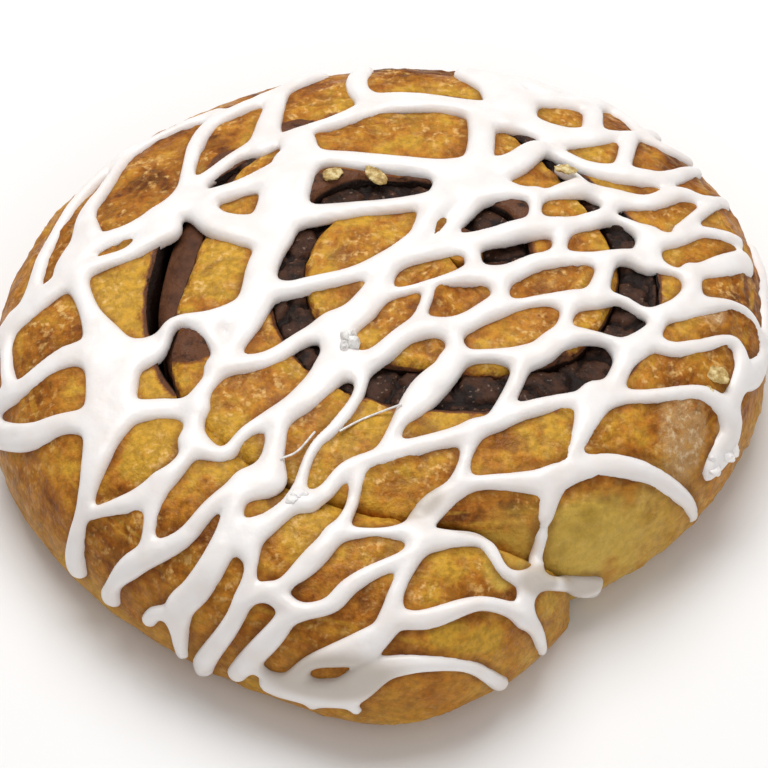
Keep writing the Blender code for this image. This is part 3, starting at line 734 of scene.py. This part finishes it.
# It lands on a plain skin of the dough, and is softened there, or off the roll at this height
SKIN_EDGE_DROP = 0.6 * MM
SKIN_STEP = 2
SKIN_SOFTNESS = 1.2 * MM
RIM_LOW = 8 * MM
# Strands run together with fillets and pools in their corners, and end where the dough no longer holds them
ROUTE_STEP = 0.3 * MM
FILLET = 0.6 * MM
FILLET_REACH = 8
WEB_SOFTNESS = 0.4 * MM
POOL_SOFTNESS = 1.5 * MM
POOL_START = 0.1 * MM
POOL_FULL = 0.9 * MM
HOLD_SOFTNESS = 0.8 * MM
HOLD_SHARE = 0.7
HOLD_SLOPE = 5
# The web's height, the width of its rounded edge and how deep it is sunk into the dough
ICING_HEIGHT = 1.5 * MM
ICING_EDGE = 2.0 * MM
ICING_SINK = 1.0 * MM
# Each strand: its usual width, then its route as (x, y) or, where the width differs, (x, y, width), all in mm
STRANDS = [
    # left rim and left side
    (4, (-76.7, 3.2), (-59.6, 9.2, 5), (-45.2, 14.3, 2.7), (-40.6, 15.4, 2.7), (-34.9, 20.3, 5.5)),
    (2.7, (-60.5, 11.4, 3.5), (-53.1, 34.1), (-48.3, 41.9), (-42.2, 47.4, 2.2), (-28.7, 52.1)),
    (3.7, (-51.9, 14.9, 5.3), (-49.1, 19.7, 5.9), (-49.7, 27.2), (-47.2, 33.8, 2.4), (-44.6, 47.2, 2.2)),
    (3, (-49.5, 18.3, 3.5), (-40.2, 20.9), (-32.4, 29.2, 2.3), (-32, 34.4, 2.3), (-31.1, 42.5),
     (-29.7, 47.2), (-21, 54.1), (-11.7, 64.5, 3.4)),
    (4.2, (-75.3, -7), (-61.2, -7.3, 3.3), (-49.8, -4), (-43.7, -5, 5.5)),
    (4.4, (-81.5, -9), (-58.4, -17.8), (-52.4, -17.3, 3.7), (-42, -18.5, 5.4)),
    (3.9, (-51, 14.7, 4.2), (-47.1, 4.5, 3.5), (-43.1, -5.7, 8.2), (-52, -35.2, 2.6), (-61, -43.6)),
    (3.9, (-42.5, -5.9, 6.4), (-37.1, -5.1, 5.4), (-31.2, -0.5, 1.9), (-26.3, -1.2), (-20.7, 2.3, 1.6)),
    (3.6, (-41, -17.1, 4.1), (-32.3, -16.8), (-27.9, -17.4)),
    (3, (-64.5, 9), (-66.2, 3.5), (-66.5, -2.5), (-65, -7.5)),
    # column right of the dark band, then down to the left
    (3.6, (-13.6, 38, 5.5), (-12.9, 33.4, 5.6), (-12.8, 27.4), (-18.5, 9.2, 4.9), (-19.1, 2.9, 5),
     (-24.3, -9.8, 2.4), (-28.6, -17.4, 3.1), (-28.9, -24.5, 2.4), (-37.5, -32.7), (-48.8, -34.9, 1.6)),
    (4.7, (-35.8, 23.1, 4), (-31.1, 25.4, 4.2), (-25.9, 20.1, 5.1), (-18, 17.1, 7)),
    (3.2, (-31.7, 27.6), (-26.6, 27.1), (-15.7, 30.9, 4.1)),
    (4.6, (-18.2, 20.5), (-16.6, 27.8)),
    # short bridges between strands
    (2.3, (12.4, 14.6), (13.5, 11.4), (13.6, 8)),
    (2.4, (28.4, 33), (34, 30.6)),
    (2.5, (-26.4, -3), (-23.8, -8)),
    # top
    (3.3, (-31.1, 29, 2.6), (-23, 38.2, 2.5), (-6.9, 44.2), (-1.1, 49.5, 5.9), (15.4, 48.4, 4.3),
     (31.6, 43.9, 4.4), (42.5, 48.3, 1.9), (49.9, 54.5)),
    (3.9, (-19.8, 38.8, 4.9), (-18, 55.2, 2.9)),
    (3.7, (-3.8, 66.1), (-3.9, 53.9), (-1.7, 50.7)),
    (3.6, (-16, 33.5, 2.7), (-7.6, 33.2), (6.9, 31.6, 4.1), (11.2, 31, 4.7), (18.6, 31.9, 5.1),
     (27.2, 39.5, 3.3), (33.6, 36.6, 2.9), (38.4, 35.1, 3.7), (45.6, 35.4, 3.5), (57.4, 45.3, 2.3)),
    (3.4, (17, 61), (22.5, 59.6, 4.6), (27, 58.8, 5), (31.5, 58.8, 4.2), (36, 60)),
    (4, (-16.1, 21.7), (-12.5, 21.1), (0.2, 22.8, 2.9), (8.4, 24.2, 3), (11.6, 30.9, 4.9)),
    (3.9, (15.1, 61, 5.5), (20, 54.5), (34.2, 55.6, 3.1), (40.4, 61.7)),
    (7.3, (20.4, 53.8), (21.9, 50.2), (19.9, 46.9)),
    (4.3, (16, 47.9), (15.4, 36.9), (14.2, 31.5)),
    (3.5, (35.2, 45), (37, 55.4)),
    (2.6, (38.1, 62.5), (42.6, 60.6), (45.7, 53.5)),
    (2.4, (46.9, 49.7), (51.6, 49), (57.5, 51.1)),
    (2.8, (42.9, 47.4), (39.5, 36.4)),
    # middle
    (3.2, (-18.9, 3.9), (-3.2, 8.5, 2.7), (4.2, 14.2), (7.8, 21.8, 3.9), (12, 27.2, 6.5),
     (16.2, 27, 6.1), (20.6, 26, 3.2), (24.5, 25.6, 1.7), (28.4, 27.4, 3), (32.4, 29.1, 3.8),
     (43.5, 28.3, 3.2), (48.7, 31.8), (56.2, 34, 1.9), (62.1, 38.1)),
    (3, (-25.2, -9.9, 3.3), (-17.7, -8.9), (-10, -3), (-6, -1.5, 4.6), (1.6, 10.1, 2.2)),
    (3.3, (-2, 2.9, 1.9), (2.4, 4.4, 1.6), (7.2, 5.8, 1.5), (14.9, 8, 3.8), (17.4, 7.9, 3.6),
     (24.1, 11.4), (33.8, 13.2, 2.4), (39.7, 14.7, 2.7), (48.8, 12.4, 1.6), (52.6, 14.4), (63, 20.8, 5.1)),
    (2.4, (0.6, 9.8), (9.2, 13.2, 3.2), (20.4, 17.7, 3.7), (35.2, 23.7), (37.3, 27.3)),
    (2.3, (7.8, 13, 1.6), (14.4, 25, 3.1)),
    (2, (23, 18.2, 1.6), (23.7, 26.1, 2.3)),
    (2.2, (26.6, 12.7), (28.2, 19.3)),
    (2.2, (31.9, 21.6, 1.6), (37.2, 23.1, 1.6), (44.9, 19.2, 2.9), (53.1, 23.5), (62.1, 25.9, 2.7)),
    (2.2, (48.3, 22.4), (58.2, 34.3)),
    (4.8, (42.8, 20.4, 3.2), (41.8, 14.5, 4.8)),
    (2.5, (17.5, 7.2, 2.9), (17.5, 1.9, 2.1)),
    (3, (34.9, 12.9, 2.4), (32.3, 4.5, 3.5)),
    (2.2, (16.4, 0.6), (24.7, 3.3), (28.2, 3.4, 3.5), (35.8, 4.4, 1.6), (42.4, 2.8), (46.3, 4, 3.3),
     (59.4, 8.6), (62.9, 8.9), (68.3, 6.7)),
    (3.4, (49.6, 13.2), (49.5, 9.1), (46.6, 4.1)),
    (2.7, (43.8, 3.2, 2), (42.4, -0.1), (39.2, -4.2, 4)),
    (2, (28.5, 3.3), (26.2, -4.4)),
    (2.6, (70.5, 32.6, 1.8), (72, 25.6), (70.3, 17), (70.2, 8.4), (70.5, 3.4, 3.9), (67, -1, 5),
     (62.8, -4.2, 3.8)),
    # centre to front
    (4.3, (-29, -23.4), (-24.6, -26.1, 2.6), (-20.2, -21.9, 2.1), (-12.7, -17.2), (-6.8, -6.4, 5.1),
     (-7.3, -2.3, 5.3)),
    (3.6, (-7.6, -10, 4), (-3.5, -9.8), (5.7, -3.3), (9.4, -2.9), (16.5, 1.4)),
    (1.8, (4.3, -3.9), (6.8, 3.8)),
    (2.4, (10.4, -3.5, 1.7), (10.6, -8.3, 3.2), (5.8, -15.2, 5.1), (1.9, -21.2), (0.4, -25)),
    (2.7, (9.4, -8.7, 2.3), (15.1, -7.8, 2.1), (23, -7.3, 4.2), (26.1, -4.4, 4), (34.4, -3.9, 2),
     (37.8, -5, 3.7), (41, -3.4), (45.4, -4), (49.7, -2.6), (60.1, 0.5), (61.6, -2.5, 3.7),
     (60.3, -9.1, 4.3)),
    (3, (60.6, -21.2, 4.2), (61.6, -18.8, 5.4), (63.4, -14.2, 6.2), (58.8, -11.8, 3.4), (54.9, -10.7),
     (42.3, -13.1, 2.5), (21.2, -18.1), (16.7, -20.4), (1.2, -26.1), (-5.7, -28.7, 2.3),
     (-8.8, -32.8, 2.5), (-11.4, -35.2)),
    (2.2, (21, -7.6), (20, -11.7, 2.5), (17, -18.6)),
    (3.2, (38.2, -5), (34.7, -13.4)),
    (4, (32.5, -14.4, 5.6), (28.8, -25.3, 2.4)),
    (2.8, (13.4, -21.6), (12.4, -26.1, 1.9), (11.1, -31.8)),
    (5.2, (-20.2, -31.4, 4.8), (-17.6, -30.8, 5.2), (-16.4, -28.6, 3)),
    # front and front left
    (2.9, (-54.4, -51, 3.6), (-53, -49.9), (-42.9, -45, 3.9), (-31.1, -40.5), (-25.6, -34.8, 2.4),
     (-21.4, -31.7), (-17.6, -28.5, 3.2), (-15.4, -20.2)),
    (2.2, (-34.2, -30.5, 2.8), (-39.4, -42.9, 1.6)),
    (3.1, (-42.6, -65.6, 2.0), (-40.1, -61.6, 2.6), (-35.6, -53.8, 4.5), (-31.7, -51, 4.5),
     (-24.4, -41.3, 3.6), (-23, -37.4, 2.8), (-21.6, -33.8, 2.8), (-19.4, -32.4, 2.8)),
    (2.4, (-46.4, -57), (-42.9, -55.4), (-38, -55.5)),
    (2.2, (-12.8, -34.6, 2.6), (-17, -38.4, 3.4), (-20.9, -41.6, 4.8), (-20.6, -45.6, 2.4),
     (-23.4, -53.5, 2.7), (-38.6, -69.4, 3.3)),
    (2.1, (-13.3, -34.1, 1.6), (-9.9, -24.4, 1.7), (-7, -21.1), (-3.4, -12), (-4.2, -9.3, 3)),
    (1.9, (-3.5, -28.9), (-5.9, -38.1), (-10.6, -45.1, 3.6), (-17.3, -51.1), (-22.3, -53, 1.6)),
    (2.4, (-7.6, -40.8), (-0.6, -40.6, 1.7), (2.9, -40.4), (8.1, -34.5, 4.4), (11, -32.2, 2.9),
     (26.4, -29.7, 4.4), (30.3, -27.7, 4.3), (55.4, -28.3), (65.8, -29.6, 1.6)),
    (3.2, (26, -29.7, 4.1), (26, -33, 3.4), (26, -36.2, 2.6)),
    (1.9, (26.3, -39.2), (26.8, -44.4)),
    (1.9, (3.4, -40.4, 2.1), (6.1, -41.8, 3.8), (10, -41.4, 3.6), (15, -41.2, 2.6), (19.9, -47.5),
     (25.5, -48.6, 3.2), (30.4, -48.7, 2.6), (38, -48.2, 3.0), (44.6, -48.4, 3.4)),
    (3, (26.6, -46.4, 1.4), (25.5, -48.4, 3.6), (24.5, -52.4, 3), (25.3, -57.1, 2.6)),
    (3, (5.7, -42.6, 2.2), (1.9, -51.7, 2.4), (0.1, -58.8, 3.7), (-3.2, -62, 5.1), (-14.5, -67.7, 2.4),
     (-17.4, -72.2, 3.6)),
    (2.9, (4.6, -44.2, 1.8), (-5.7, -50.9), (-7.9, -53.6), (-15.8, -56.6), (-18.5, -59.8, 3.5),
     (-30.1, -70.8)),
    (3.1, (-18.3, -51.2), (-14.6, -55)),
    (2.6, (1.2, -56.6), (4.9, -57, 3.6), (16.2, -53.6), (27.5, -58.2), (34.3, -65.4, 1.8)),
    (1.3, (-23.6, -69.2), (-20.6, -71)),
    (1.5, (-14.6, -78.6), (-13.2, -75.4)),
    (1.5, (-5.4, -79.4), (-6.8, -76)),
    (3.3, (-22.8, -72.9, 3.2), (-19.6, -73.5, 4.4), (-8.4, -73.9, 6.1), (0.6, -67.2, 4.3),
     (14.7, -67.3, 2.4), (24.7, -73.9, 2.9)),
]

# Where the icing ran thin over the dough and where grey is painted shade, each (x, y, reach along, reach
# across, turn) in mm
THIN_AND_SHADED_SPOTS = [(27, -48.5, 6, 4.5, 0), (40, -48, 9, 3.5, 0), (-10, -70, 17, 8, 0), (5.5, -34.5, 5, 3.5, 40)]
# How much of the colour of thin, shaded icing shows there
THIN_AND_SHADED_SHARE = 0.75
THIN_AND_SHADED_ICING = rgb(190, 178, 164)
ICING_WHITE = rgb(244, 240, 238)
ICING_CREAM = rgb(239, 232, 228)
icing_material, tree, shader, spot = start_material("white_icing", 0.36)
colour = blend(tree, between(tree, noise(tree, spot, 180.0, 2.0), 0.35, 0.7), ICING_WHITE, ICING_CREAM)
# Grey where the icing is thin, partly painted shade on the front pool and over a step
colour = blend(tree, attribute(tree, "thin_and_shaded"), colour, THIN_AND_SHADED_ICING)
dents = plus(tree, noise(tree, spot, 300.0, 2.0), times(tree, noise(tree, spot, 1300.0, 2.0), 0.22))
set_inputs(tree, shader, {
    "Base Color": colour, "Normal": bump(tree, dents, 0.3 * MM, 0.6), "Subsurface Weight": 0.35,
    "Subsurface Radius": (1.0, 0.9, 0.75), "Subsurface Scale": 0.8 * MM,
})

skin_stations = np.arange(STRIP_START, STRIP_END + 1, SKIN_STEP)
skin_sections = strip_sections(skin_stations, slot=0, edge_drop=SKIN_EDGE_DROP, top_points=16,
                               side_points=10, under_points=6)
skin_data = loft("skin", skin_sections - TO_ORIGIN, {})
skin = BVHTree.FromPolygons([v.co for v in skin_data.vertices], [p.vertices for p in skin_data.polygons])
bpy.data.meshes.remove(skin_data)


def fall(x, y):
    """Where a point of the sheet lands on the dough, the surface's normal there, and 1, or 0 off the roll."""
    inward = (FOCUS - (x, y, SHEET_HEIGHT)) / np.linalg.norm(FOCUS - (x, y, SHEET_HEIGHT))
    hit, normal, _, _ = skin.ray_cast(Vector(FOCUS - inward * FALL_HEIGHT), Vector(inward))
    if hit is None:
        reach = (RIM_LOW - FOCUS[2]) / (SHEET_HEIGHT - FOCUS[2])
        return FOCUS + ((x, y, SHEET_HEIGHT) - FOCUS) * reach, -inward, 0.0
    return np.array(hit), np.array(normal), 1.0


def soften(field, spread):
    """The field on the sheet, blurred over about this distance each way."""
    reach = np.arange(-np.ceil(3 * spread / SHEET_CELL), np.ceil(3 * spread / SHEET_CELL) + 1) * SHEET_CELL
    weight = np.exp(-0.5 * (reach / spread) ** 2)
    weight /= weight.sum()
    pad = len(reach) // 2
    for axis in (0, 1):
        edged = np.pad(field, [(pad, pad) if k == axis else (0, 0) for k in range(field.ndim)], mode="edge")
        length = field.shape[axis]
        field = sum(w * np.take(edged, np.arange(length) + k, axis=axis) for k, w in enumerate(weight))
    return field


sheet_axis = np.arange(-SHEET_REACH, SHEET_REACH + SHEET_CELL / 2, SHEET_CELL)
sheet_x, sheet_y = np.meshgrid(sheet_axis, sheet_axis, indexing="ij")
landed = [fall(x, y) for x, y in zip(sheet_x.ravel(), sheet_y.ravel())]
landing, upward, held = (np.array(part).reshape(*sheet_x.shape, -1) for part in zip(*landed))
landing = soften(landing, SKIN_SOFTNESS)
upward = soften(upward, SKIN_SOFTNESS)
held = soften(held[..., 0], HOLD_SOFTNESS)
upward /= np.linalg.norm(upward, axis=2, keepdims=True)
shrink = (landing[..., 2] - FOCUS[2]) / (SHEET_HEIGHT - FOCUS[2])

crowd = np.zeros_like(sheet_x)
for usual, *route in STRANDS:
    route = np.array([(x, y, rest[0] if rest else usual) for x, y, *rest in route]) * MM
    steps = np.diff(route[:, :2], axis=0)
    along = np.append(0, np.cumsum(np.hypot(steps[:, 0], steps[:, 1])))
    points = smooth_through(np.column_stack([along, route]), np.arange(0, along[-1], ROUTE_STEP))
    x, y, width = np.append(points, route[-1:], axis=0).T
    margin = width.max() + FILLET_REACH * FILLET
    rows = slice(*np.searchsorted(sheet_axis, [x.min() - margin, x.max() + margin]))
    columns = slice(*np.searchsorted(sheet_axis, [y.min() - margin, y.max() + margin]))
    window = (rows, columns)
    aside = np.hypot(sheet_x[window][..., None] - x, sheet_y[window][..., None] - y)
    aside = (aside * shrink[window][..., None] - width / 2).min(axis=2)
    crowd[window] += np.exp(-aside / FILLET)
web = FILLET * np.log(np.maximum(crowd, np.exp(-FILLET_REACH)))
web = soften(np.minimum(web, (held - HOLD_SHARE) * HOLD_SLOPE * MM), WEB_SOFTNESS)
filled = soften(np.clip(web, 0, ICING_EDGE), POOL_SOFTNESS)
web = web + np.maximum(filled - web, 0) * ease(web, POOL_START, POOL_FULL)

here = np.arange(sheet_x.size).reshape(sheet_x.shape)
quads = np.stack([here[:-1, :-1], here[1:, :-1], here[1:, 1:], here[:-1, 1:]], axis=-1).reshape(-1, 4)
sheet_data = bpy.data.meshes.new("icing_sheet")
sheet_points = np.stack([sheet_x, sheet_y, 0 * sheet_x], axis=-1).reshape(-1, 3)
sheet_data.from_pydata(sheet_points.tolist(), [], quads.tolist())
store(sheet_data, "web", web)
store(sheet_data, "landing", landing + TO_ORIGIN)
store(sheet_data, "upward", upward)
icing = add_piece("icing_web", sheet_data)


def icing_tree(material):
    """The web on the sheet as a solid with rounded edges, draped over where the sheet landed."""
    tree, size = start_tree("icing_drape", ("Reach", "Crown height", "Edge", "Sink", "Cell", "Uneven size"))
    sheet = size["Geometry"]
    spot = add_node(tree, "GeometryNodeInputPosition").outputs[0]
    level = vector_calc(tree, "MULTIPLY", spot, (1.0, 1.0, 0.0))
    height = add_node(tree, "ShaderNodeSeparateXYZ", {0: spot}).outputs["Z"]

    def on_sheet(label, data_type):
        inputs = {"Mesh": sheet, "Value": named(tree, label, data_type), "Sample Position": level}
        read = add_node(tree, "GeometryNodeSampleNearestSurface", inputs, data_type=data_type)
        return read.outputs["Value"]

    uneven = noise(tree, level, calc(tree, "DIVIDE", 1.0, size["Uneven size"]), 2.0)
    crown = times(tree, size["Crown height"], between(tree, uneven, 0.3, 0.7, 0.8, 1.1))
    inside = calc(tree, "MINIMUM", calc(tree, "DIVIDE", on_sheet("web", "FLOAT"), size["Edge"]), 1.0)
    aside = calc(tree, "SUBTRACT", 1.0, inside)
    raised = calc(tree, "DIVIDE", calc(tree, "MAXIMUM", height, 0.0), crown)
    reach = plus(tree, times(tree, aside, aside), times(tree, raised, raised))
    rounded = calc(tree, "SUBTRACT", 1.0, calc(tree, "SQRT", reach))
    sunk = calc(tree, "DIVIDE", plus(tree, height, size["Sink"]), size["Edge"])
    body = plus(tree, calc(tree, "MINIMUM", rounded, sunk), 0.5)

    def corner(side, drop):
        return add_node(tree, "ShaderNodeCombineXYZ", {0: side, 1: side, 2: drop}).outputs[0]

    below = times(tree, size["Sink"], -1.5)
    above = times(tree, size["Crown height"], 1.4)
    cells_across = calc(tree, "DIVIDE", times(tree, size["Reach"], 2.0), size["Cell"])
    cells_deep = calc(tree, "DIVIDE", calc(tree, "SUBTRACT", above, below), times(tree, size["Cell"], 0.75))
    inputs = {"Density": body, "Background": -1.0, "Min": corner(times(tree, size["Reach"], -1.0), below),
              "Max": corner(size["Reach"], above), "Resolution X": cells_across,
              "Resolution Y": cells_across, "Resolution Z": cells_deep}
    cloud = add_node(tree, "GeometryNodeVolumeCube", inputs)
    solid = add_node(tree, "GeometryNodeVolumeToMesh", {"Volume": cloud.outputs[0], "Threshold": 0.5},
                     resolution_mode="GRID")
    lift = scaled(tree, on_sheet("upward", "FLOAT_VECTOR"), height)
    draped = vector_calc(tree, "ADD", on_sheet("landing", "FLOAT_VECTOR"), lift)
    moved = add_node(tree, "GeometryNodeSetPosition", {"Geometry": solid.outputs[0], "Position": draped})
    end_tree(tree, moved.outputs[0], material)
    return tree


def own_points(piece):
    """The points of a piece, measured as its sections were."""
    points = np.zeros(len(piece.data.vertices) * 3, np.float32)
    piece.data.vertices.foreach_get("co", points)
    return points.reshape(-1, 3) - TO_ORIGIN


ICING_SIZES = {"Reach": SHEET_REACH - 2 * MM, "Crown height": ICING_HEIGHT, "Edge": ICING_EDGE,
               "Sink": ICING_SINK, "Cell": 0.53 * MM, "Uneven size": 11 * MM}
grow(icing, icing_tree(icing_material), ICING_SIZES)
store(icing.data, "thin_and_shaded", THIN_AND_SHADED_SHARE * on_spots(own_points(icing), THIN_AND_SHADED_SPOTS))
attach(icing, "root")
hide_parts("dough")

# How near each point of the dough lies to the icing, read between the points of the sheet: 1 under it and at
# its edge, and 0 beyond this reach. The dough is darkened there: painted contact shade, partly a damp edge
CONTACT_SHADE_REACH = 1.3 * MM
cell = np.clip((to_sheet(own_points(dough)) + SHEET_REACH) / SHEET_CELL, 0, len(sheet_axis) - 1.001)
column = cell.astype(int)
share = cell - column
i, j = column.T
web_there = (web[i, j] * (1 - share[:, 0]) + web[i + 1, j] * share[:, 0]) * (1 - share[:, 1])
web_there += (web[i, j + 1] * (1 - share[:, 0]) + web[i + 1, j + 1] * share[:, 0]) * share[:, 1]
store(dough.data, "contact_shade_beside_icing", 1 - ease(-web_there, 0, CONTACT_SHADE_REACH))


# The flakes. Five dry golden flakes of nut lie on the roll: two on the filling near the top, one under a
# strand of icing at the right and two at the right edge. Each is a flattened ball, and the Geometry Nodes
# that crumple it also shape the grains of sugar.
FLAKES = [(-8.0, 28.8, 3.5, 2.4, 10, 0.2), (-1.2, 28.8, 4.6, 2.3, -6, 0.2), (28.7, 31.2, 3.8, 1.6, 35, 0.8),
          (54.4, -6.4, 3.0, 4.6, -10, 0), (53.2, -10.0, 2.2, 1.6, 30, 0)]
FLAKE_THICKNESS = 0.9 * MM
FLAKE_BROWN = rgb(150, 118, 60)
FLAKE_GOLD = rgb(192, 162, 96)
FLAKE_PALE = rgb(230, 210, 156)


def add_chips(name, chips, thickness, material, crumple):
    """Flattened balls, crumpled by Geometry Nodes. Each is (x, y, length, width, turn, lift), in millimetres
    on the icing's sheet, with its turn in degrees and its lift in millimetres off the dough."""
    mesh = bmesh.new()
    for x, y, length, width, turn, lift in chips:
        landed_at, normal, _ = fall(x * MM, y * MM)
        moved = Matrix.Translation(landed_at + TO_ORIGIN + (0.5 * thickness + lift * MM) * normal)
        facing = Vector(normal + (0, 0, 2)).to_track_quat("Z", "Y").to_matrix().to_4x4()
        turned = Matrix.Rotation(np.radians(turn), 4, "Z")
        stretch = Matrix.Diagonal((length / 2 * MM, width / 2 * MM, thickness / 2, 1))
        placed = moved @ facing @ turned @ stretch
        bmesh.ops.create_icosphere(mesh, subdivisions=4, radius=1, matrix=placed)
    data = bpy.data.meshes.new(name)
    mesh.to_mesh(data)
    mesh.free()
    piece = add_piece(name, data)
    tree, size = start_tree(name, ("Fold size", "Fold height"))
    spot = add_node(tree, "GeometryNodeInputPosition").outputs[0]
    folds = noise(tree, spot, calc(tree, "DIVIDE", 1.0, size["Fold size"]), 3.0, 0.6, "Color")
    push = scaled(tree, vector_calc(tree, "SUBTRACT", folds, (0.5, 0.5, 0.5)), size["Fold height"])
    moved = add_node(tree, "GeometryNodeSetPosition", {"Geometry": size["Geometry"], "Offset": push})
    end_tree(tree, moved.outputs[0], material)
    grow(piece, tree, crumple)
    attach(piece, "root")
    return piece


flake_material, tree, shader, spot = start_material("golden_flake", 0.55)
tone = ramp(tree, noise(tree, spot, 900.0, 3.0, 0.6), [(0.35, FLAKE_BROWN), (0.5, FLAKE_GOLD),
                                                      (0.64, FLAKE_PALE)])
crumbly = bump(tree, noise(tree, spot, 1500.0, 3.0), 0.2 * MM)
set_inputs(tree, shader, {"Base Color": tone, "Normal": crumbly})
flakes = add_chips("golden_flakes", FLAKES, FLAKE_THICKNESS, flake_material,
                   {"Fold size": 1.5 * MM, "Fold height": 1.3 * MM})


# The sugar. A small white lump of dried icing sugar sits on a strand at the middle, grains of dry crust lie
# on the icing at the front and at the right edge, and two fine threads of icing were pulled across gaps
# below the lump. The lump and the crust are crumpled balls, and the threads are thin tubes.
SUGAR_LUMP = [(-5.6, -5.4, 2.0, 1.7, 0, 0), (-4.4, -6.6, 2.2, 1.8, 40, 0), (-5.8, -7.2, 1.5, 1.3, 0, 0),
              (-4.6, -5.2, 1.2, 1.2, 0, 0)]
SUGAR_HEIGHT = 2.4 * MM
SUGAR_CRUST = [(-12.6, -34.2, 2.4, 1.8, 0, 0.7), (-13.8, -35.2, 1.9, 1.5, 30, 0.7),
               (60.2, -21.4, 3.0, 2.2, 60, 0.5), (62.2, -18.4, 3.2, 1.8, 100, 0.8),
               (64.4, -16.4, 2.6, 1.8, 50, 0.8), (59.0, -20.0, 1.6, 1.2, 0, 0.2)]
CRUST_THICKNESS = 0.9 * MM
THREADS = [[(-6.6, -22.6, 0.9), (-3.0, -20.0, 0.4), (2.6, -17.9, 1.3)],
           [(-15.4, -27.6, 1.0), (-12.8, -26.0, 0.7), (-10.2, -22.8, 1.0)]]
THREAD_RADIUS = 0.16 * MM
THREAD_POINTS = 24
SUGAR_WHITE = rgb(246, 245, 243)
SUGAR_GREY = rgb(222, 218, 214)
sugar_material, tree, shader, spot = start_material("icing_sugar", 0.5)
tone = blend(tree, between(tree, noise(tree, spot, 1200.0, 2.0), 0.35, 0.65), SUGAR_WHITE, SUGAR_GREY)
grainy = bump(tree, noise(tree, spot, 2000.0, 2.0), 0.15 * MM)
set_inputs(tree, shader, {"Base Color": tone, "Normal": grainy})
lump = add_chips("sugar_lump", SUGAR_LUMP, SUGAR_HEIGHT, sugar_material,
                 {"Fold size": 1.0 * MM, "Fold height": 0.9 * MM})
crust = add_chips("sugar_crust", SUGAR_CRUST, CRUST_THICKNESS, icing_material,
                  {"Fold size": 1.1 * MM, "Fold height": 1.0 * MM})

thread_points, thread_edges = [], []
for route in THREADS:
    first = len(thread_points)
    knots = [(i, *point) for i, point in enumerate(route)]
    for x, y, lift in smooth_through(knots, np.linspace(0, len(route) - 1, THREAD_POINTS)):
        landed_at, normal, _ = fall(x * MM, y * MM)
        thread_points.append((landed_at + TO_ORIGIN + lift * MM * normal).tolist())
    thread_edges += [(i, i + 1) for i in range(first, len(thread_points) - 1)]
thread_data = bpy.data.meshes.new("sugar_threads")
thread_data.from_pydata(thread_points, thread_edges, [])
threads = add_piece("sugar_threads", thread_data)
tree, size = start_tree("thread_tube", ("Radius",))
curve = add_node(tree, "GeometryNodeMeshToCurve", {"Mesh": size["Geometry"]})
circle = add_node(tree, "GeometryNodeCurvePrimitiveCircle", {"Resolution": 8, "Radius": size["Radius"]})
inputs = {"Curve": curve.outputs[0], "Profile Curve": circle.outputs[0], "Fill Caps": True}
tube = add_node(tree, "GeometryNodeCurveToMesh", inputs)
end_tree(tree, tube.outputs[0], sugar_material)
grow(threads, tree, {"Radius": THREAD_RADIUS})
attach(threads, "root")


# The table and the light. A plain pale floor with one broad soft lamp above and behind the roll, and a weaker
# one at the front, which leaves the icing's near edges a little grey.
FLOOR_SIZE = 3.0
ROOM_LIGHT = 0.35
floor_material, _, shader, _ = start_material("pale_floor", 0.8)
shader.inputs["Base Color"].default_value = rgb(244, 244, 244)
floor_data = bpy.data.meshes.new("floor")
half = FLOOR_SIZE / 2
corners = [(-half, -half, 0), (half, -half, 0), (half, half, 0), (-half, half, 0)]
floor_data.from_pydata(corners, [], [(0, 1, 2, 3)])
floor_data.materials.append(floor_material)
floor = bpy.data.objects.new("floor", floor_data)
bpy.context.scene.collection.objects.link(floor)


def add_lamp(name, position, size, power, tint):
    """A square lamp that faces the roll."""
    lamp_data = bpy.data.lights.new(name, "AREA")
    lamp_data.size = size
    lamp_data.energy = power
    lamp_data.color = tint
    lamp = bpy.data.objects.new(name, lamp_data)
    lamp.location = position
    lamp.rotation_euler = (-Vector(position)).to_track_quat("-Z", "Y").to_euler()
    bpy.context.scene.collection.objects.link(lamp)


add_lamp("key_lamp", (-0.05, 0.33, 0.77), 0.6, 6.05, (1.0, 0.99, 0.98))
add_lamp("front_lamp", (0.2, -0.7, 0.5), 0.7, 1.55, (1.0, 0.97, 0.95))
world = bpy.data.worlds.new("studio")
world.use_nodes = True
world.node_tree.nodes["Background"].inputs["Color"].default_value = (1.0, 1.0, 1.0, 1.0)
world.node_tree.nodes["Background"].inputs["Strength"].default_value = ROOM_LIGHT
bpy.context.scene.world = world
bpy.context.scene.view_settings.view_transform = "Standard"
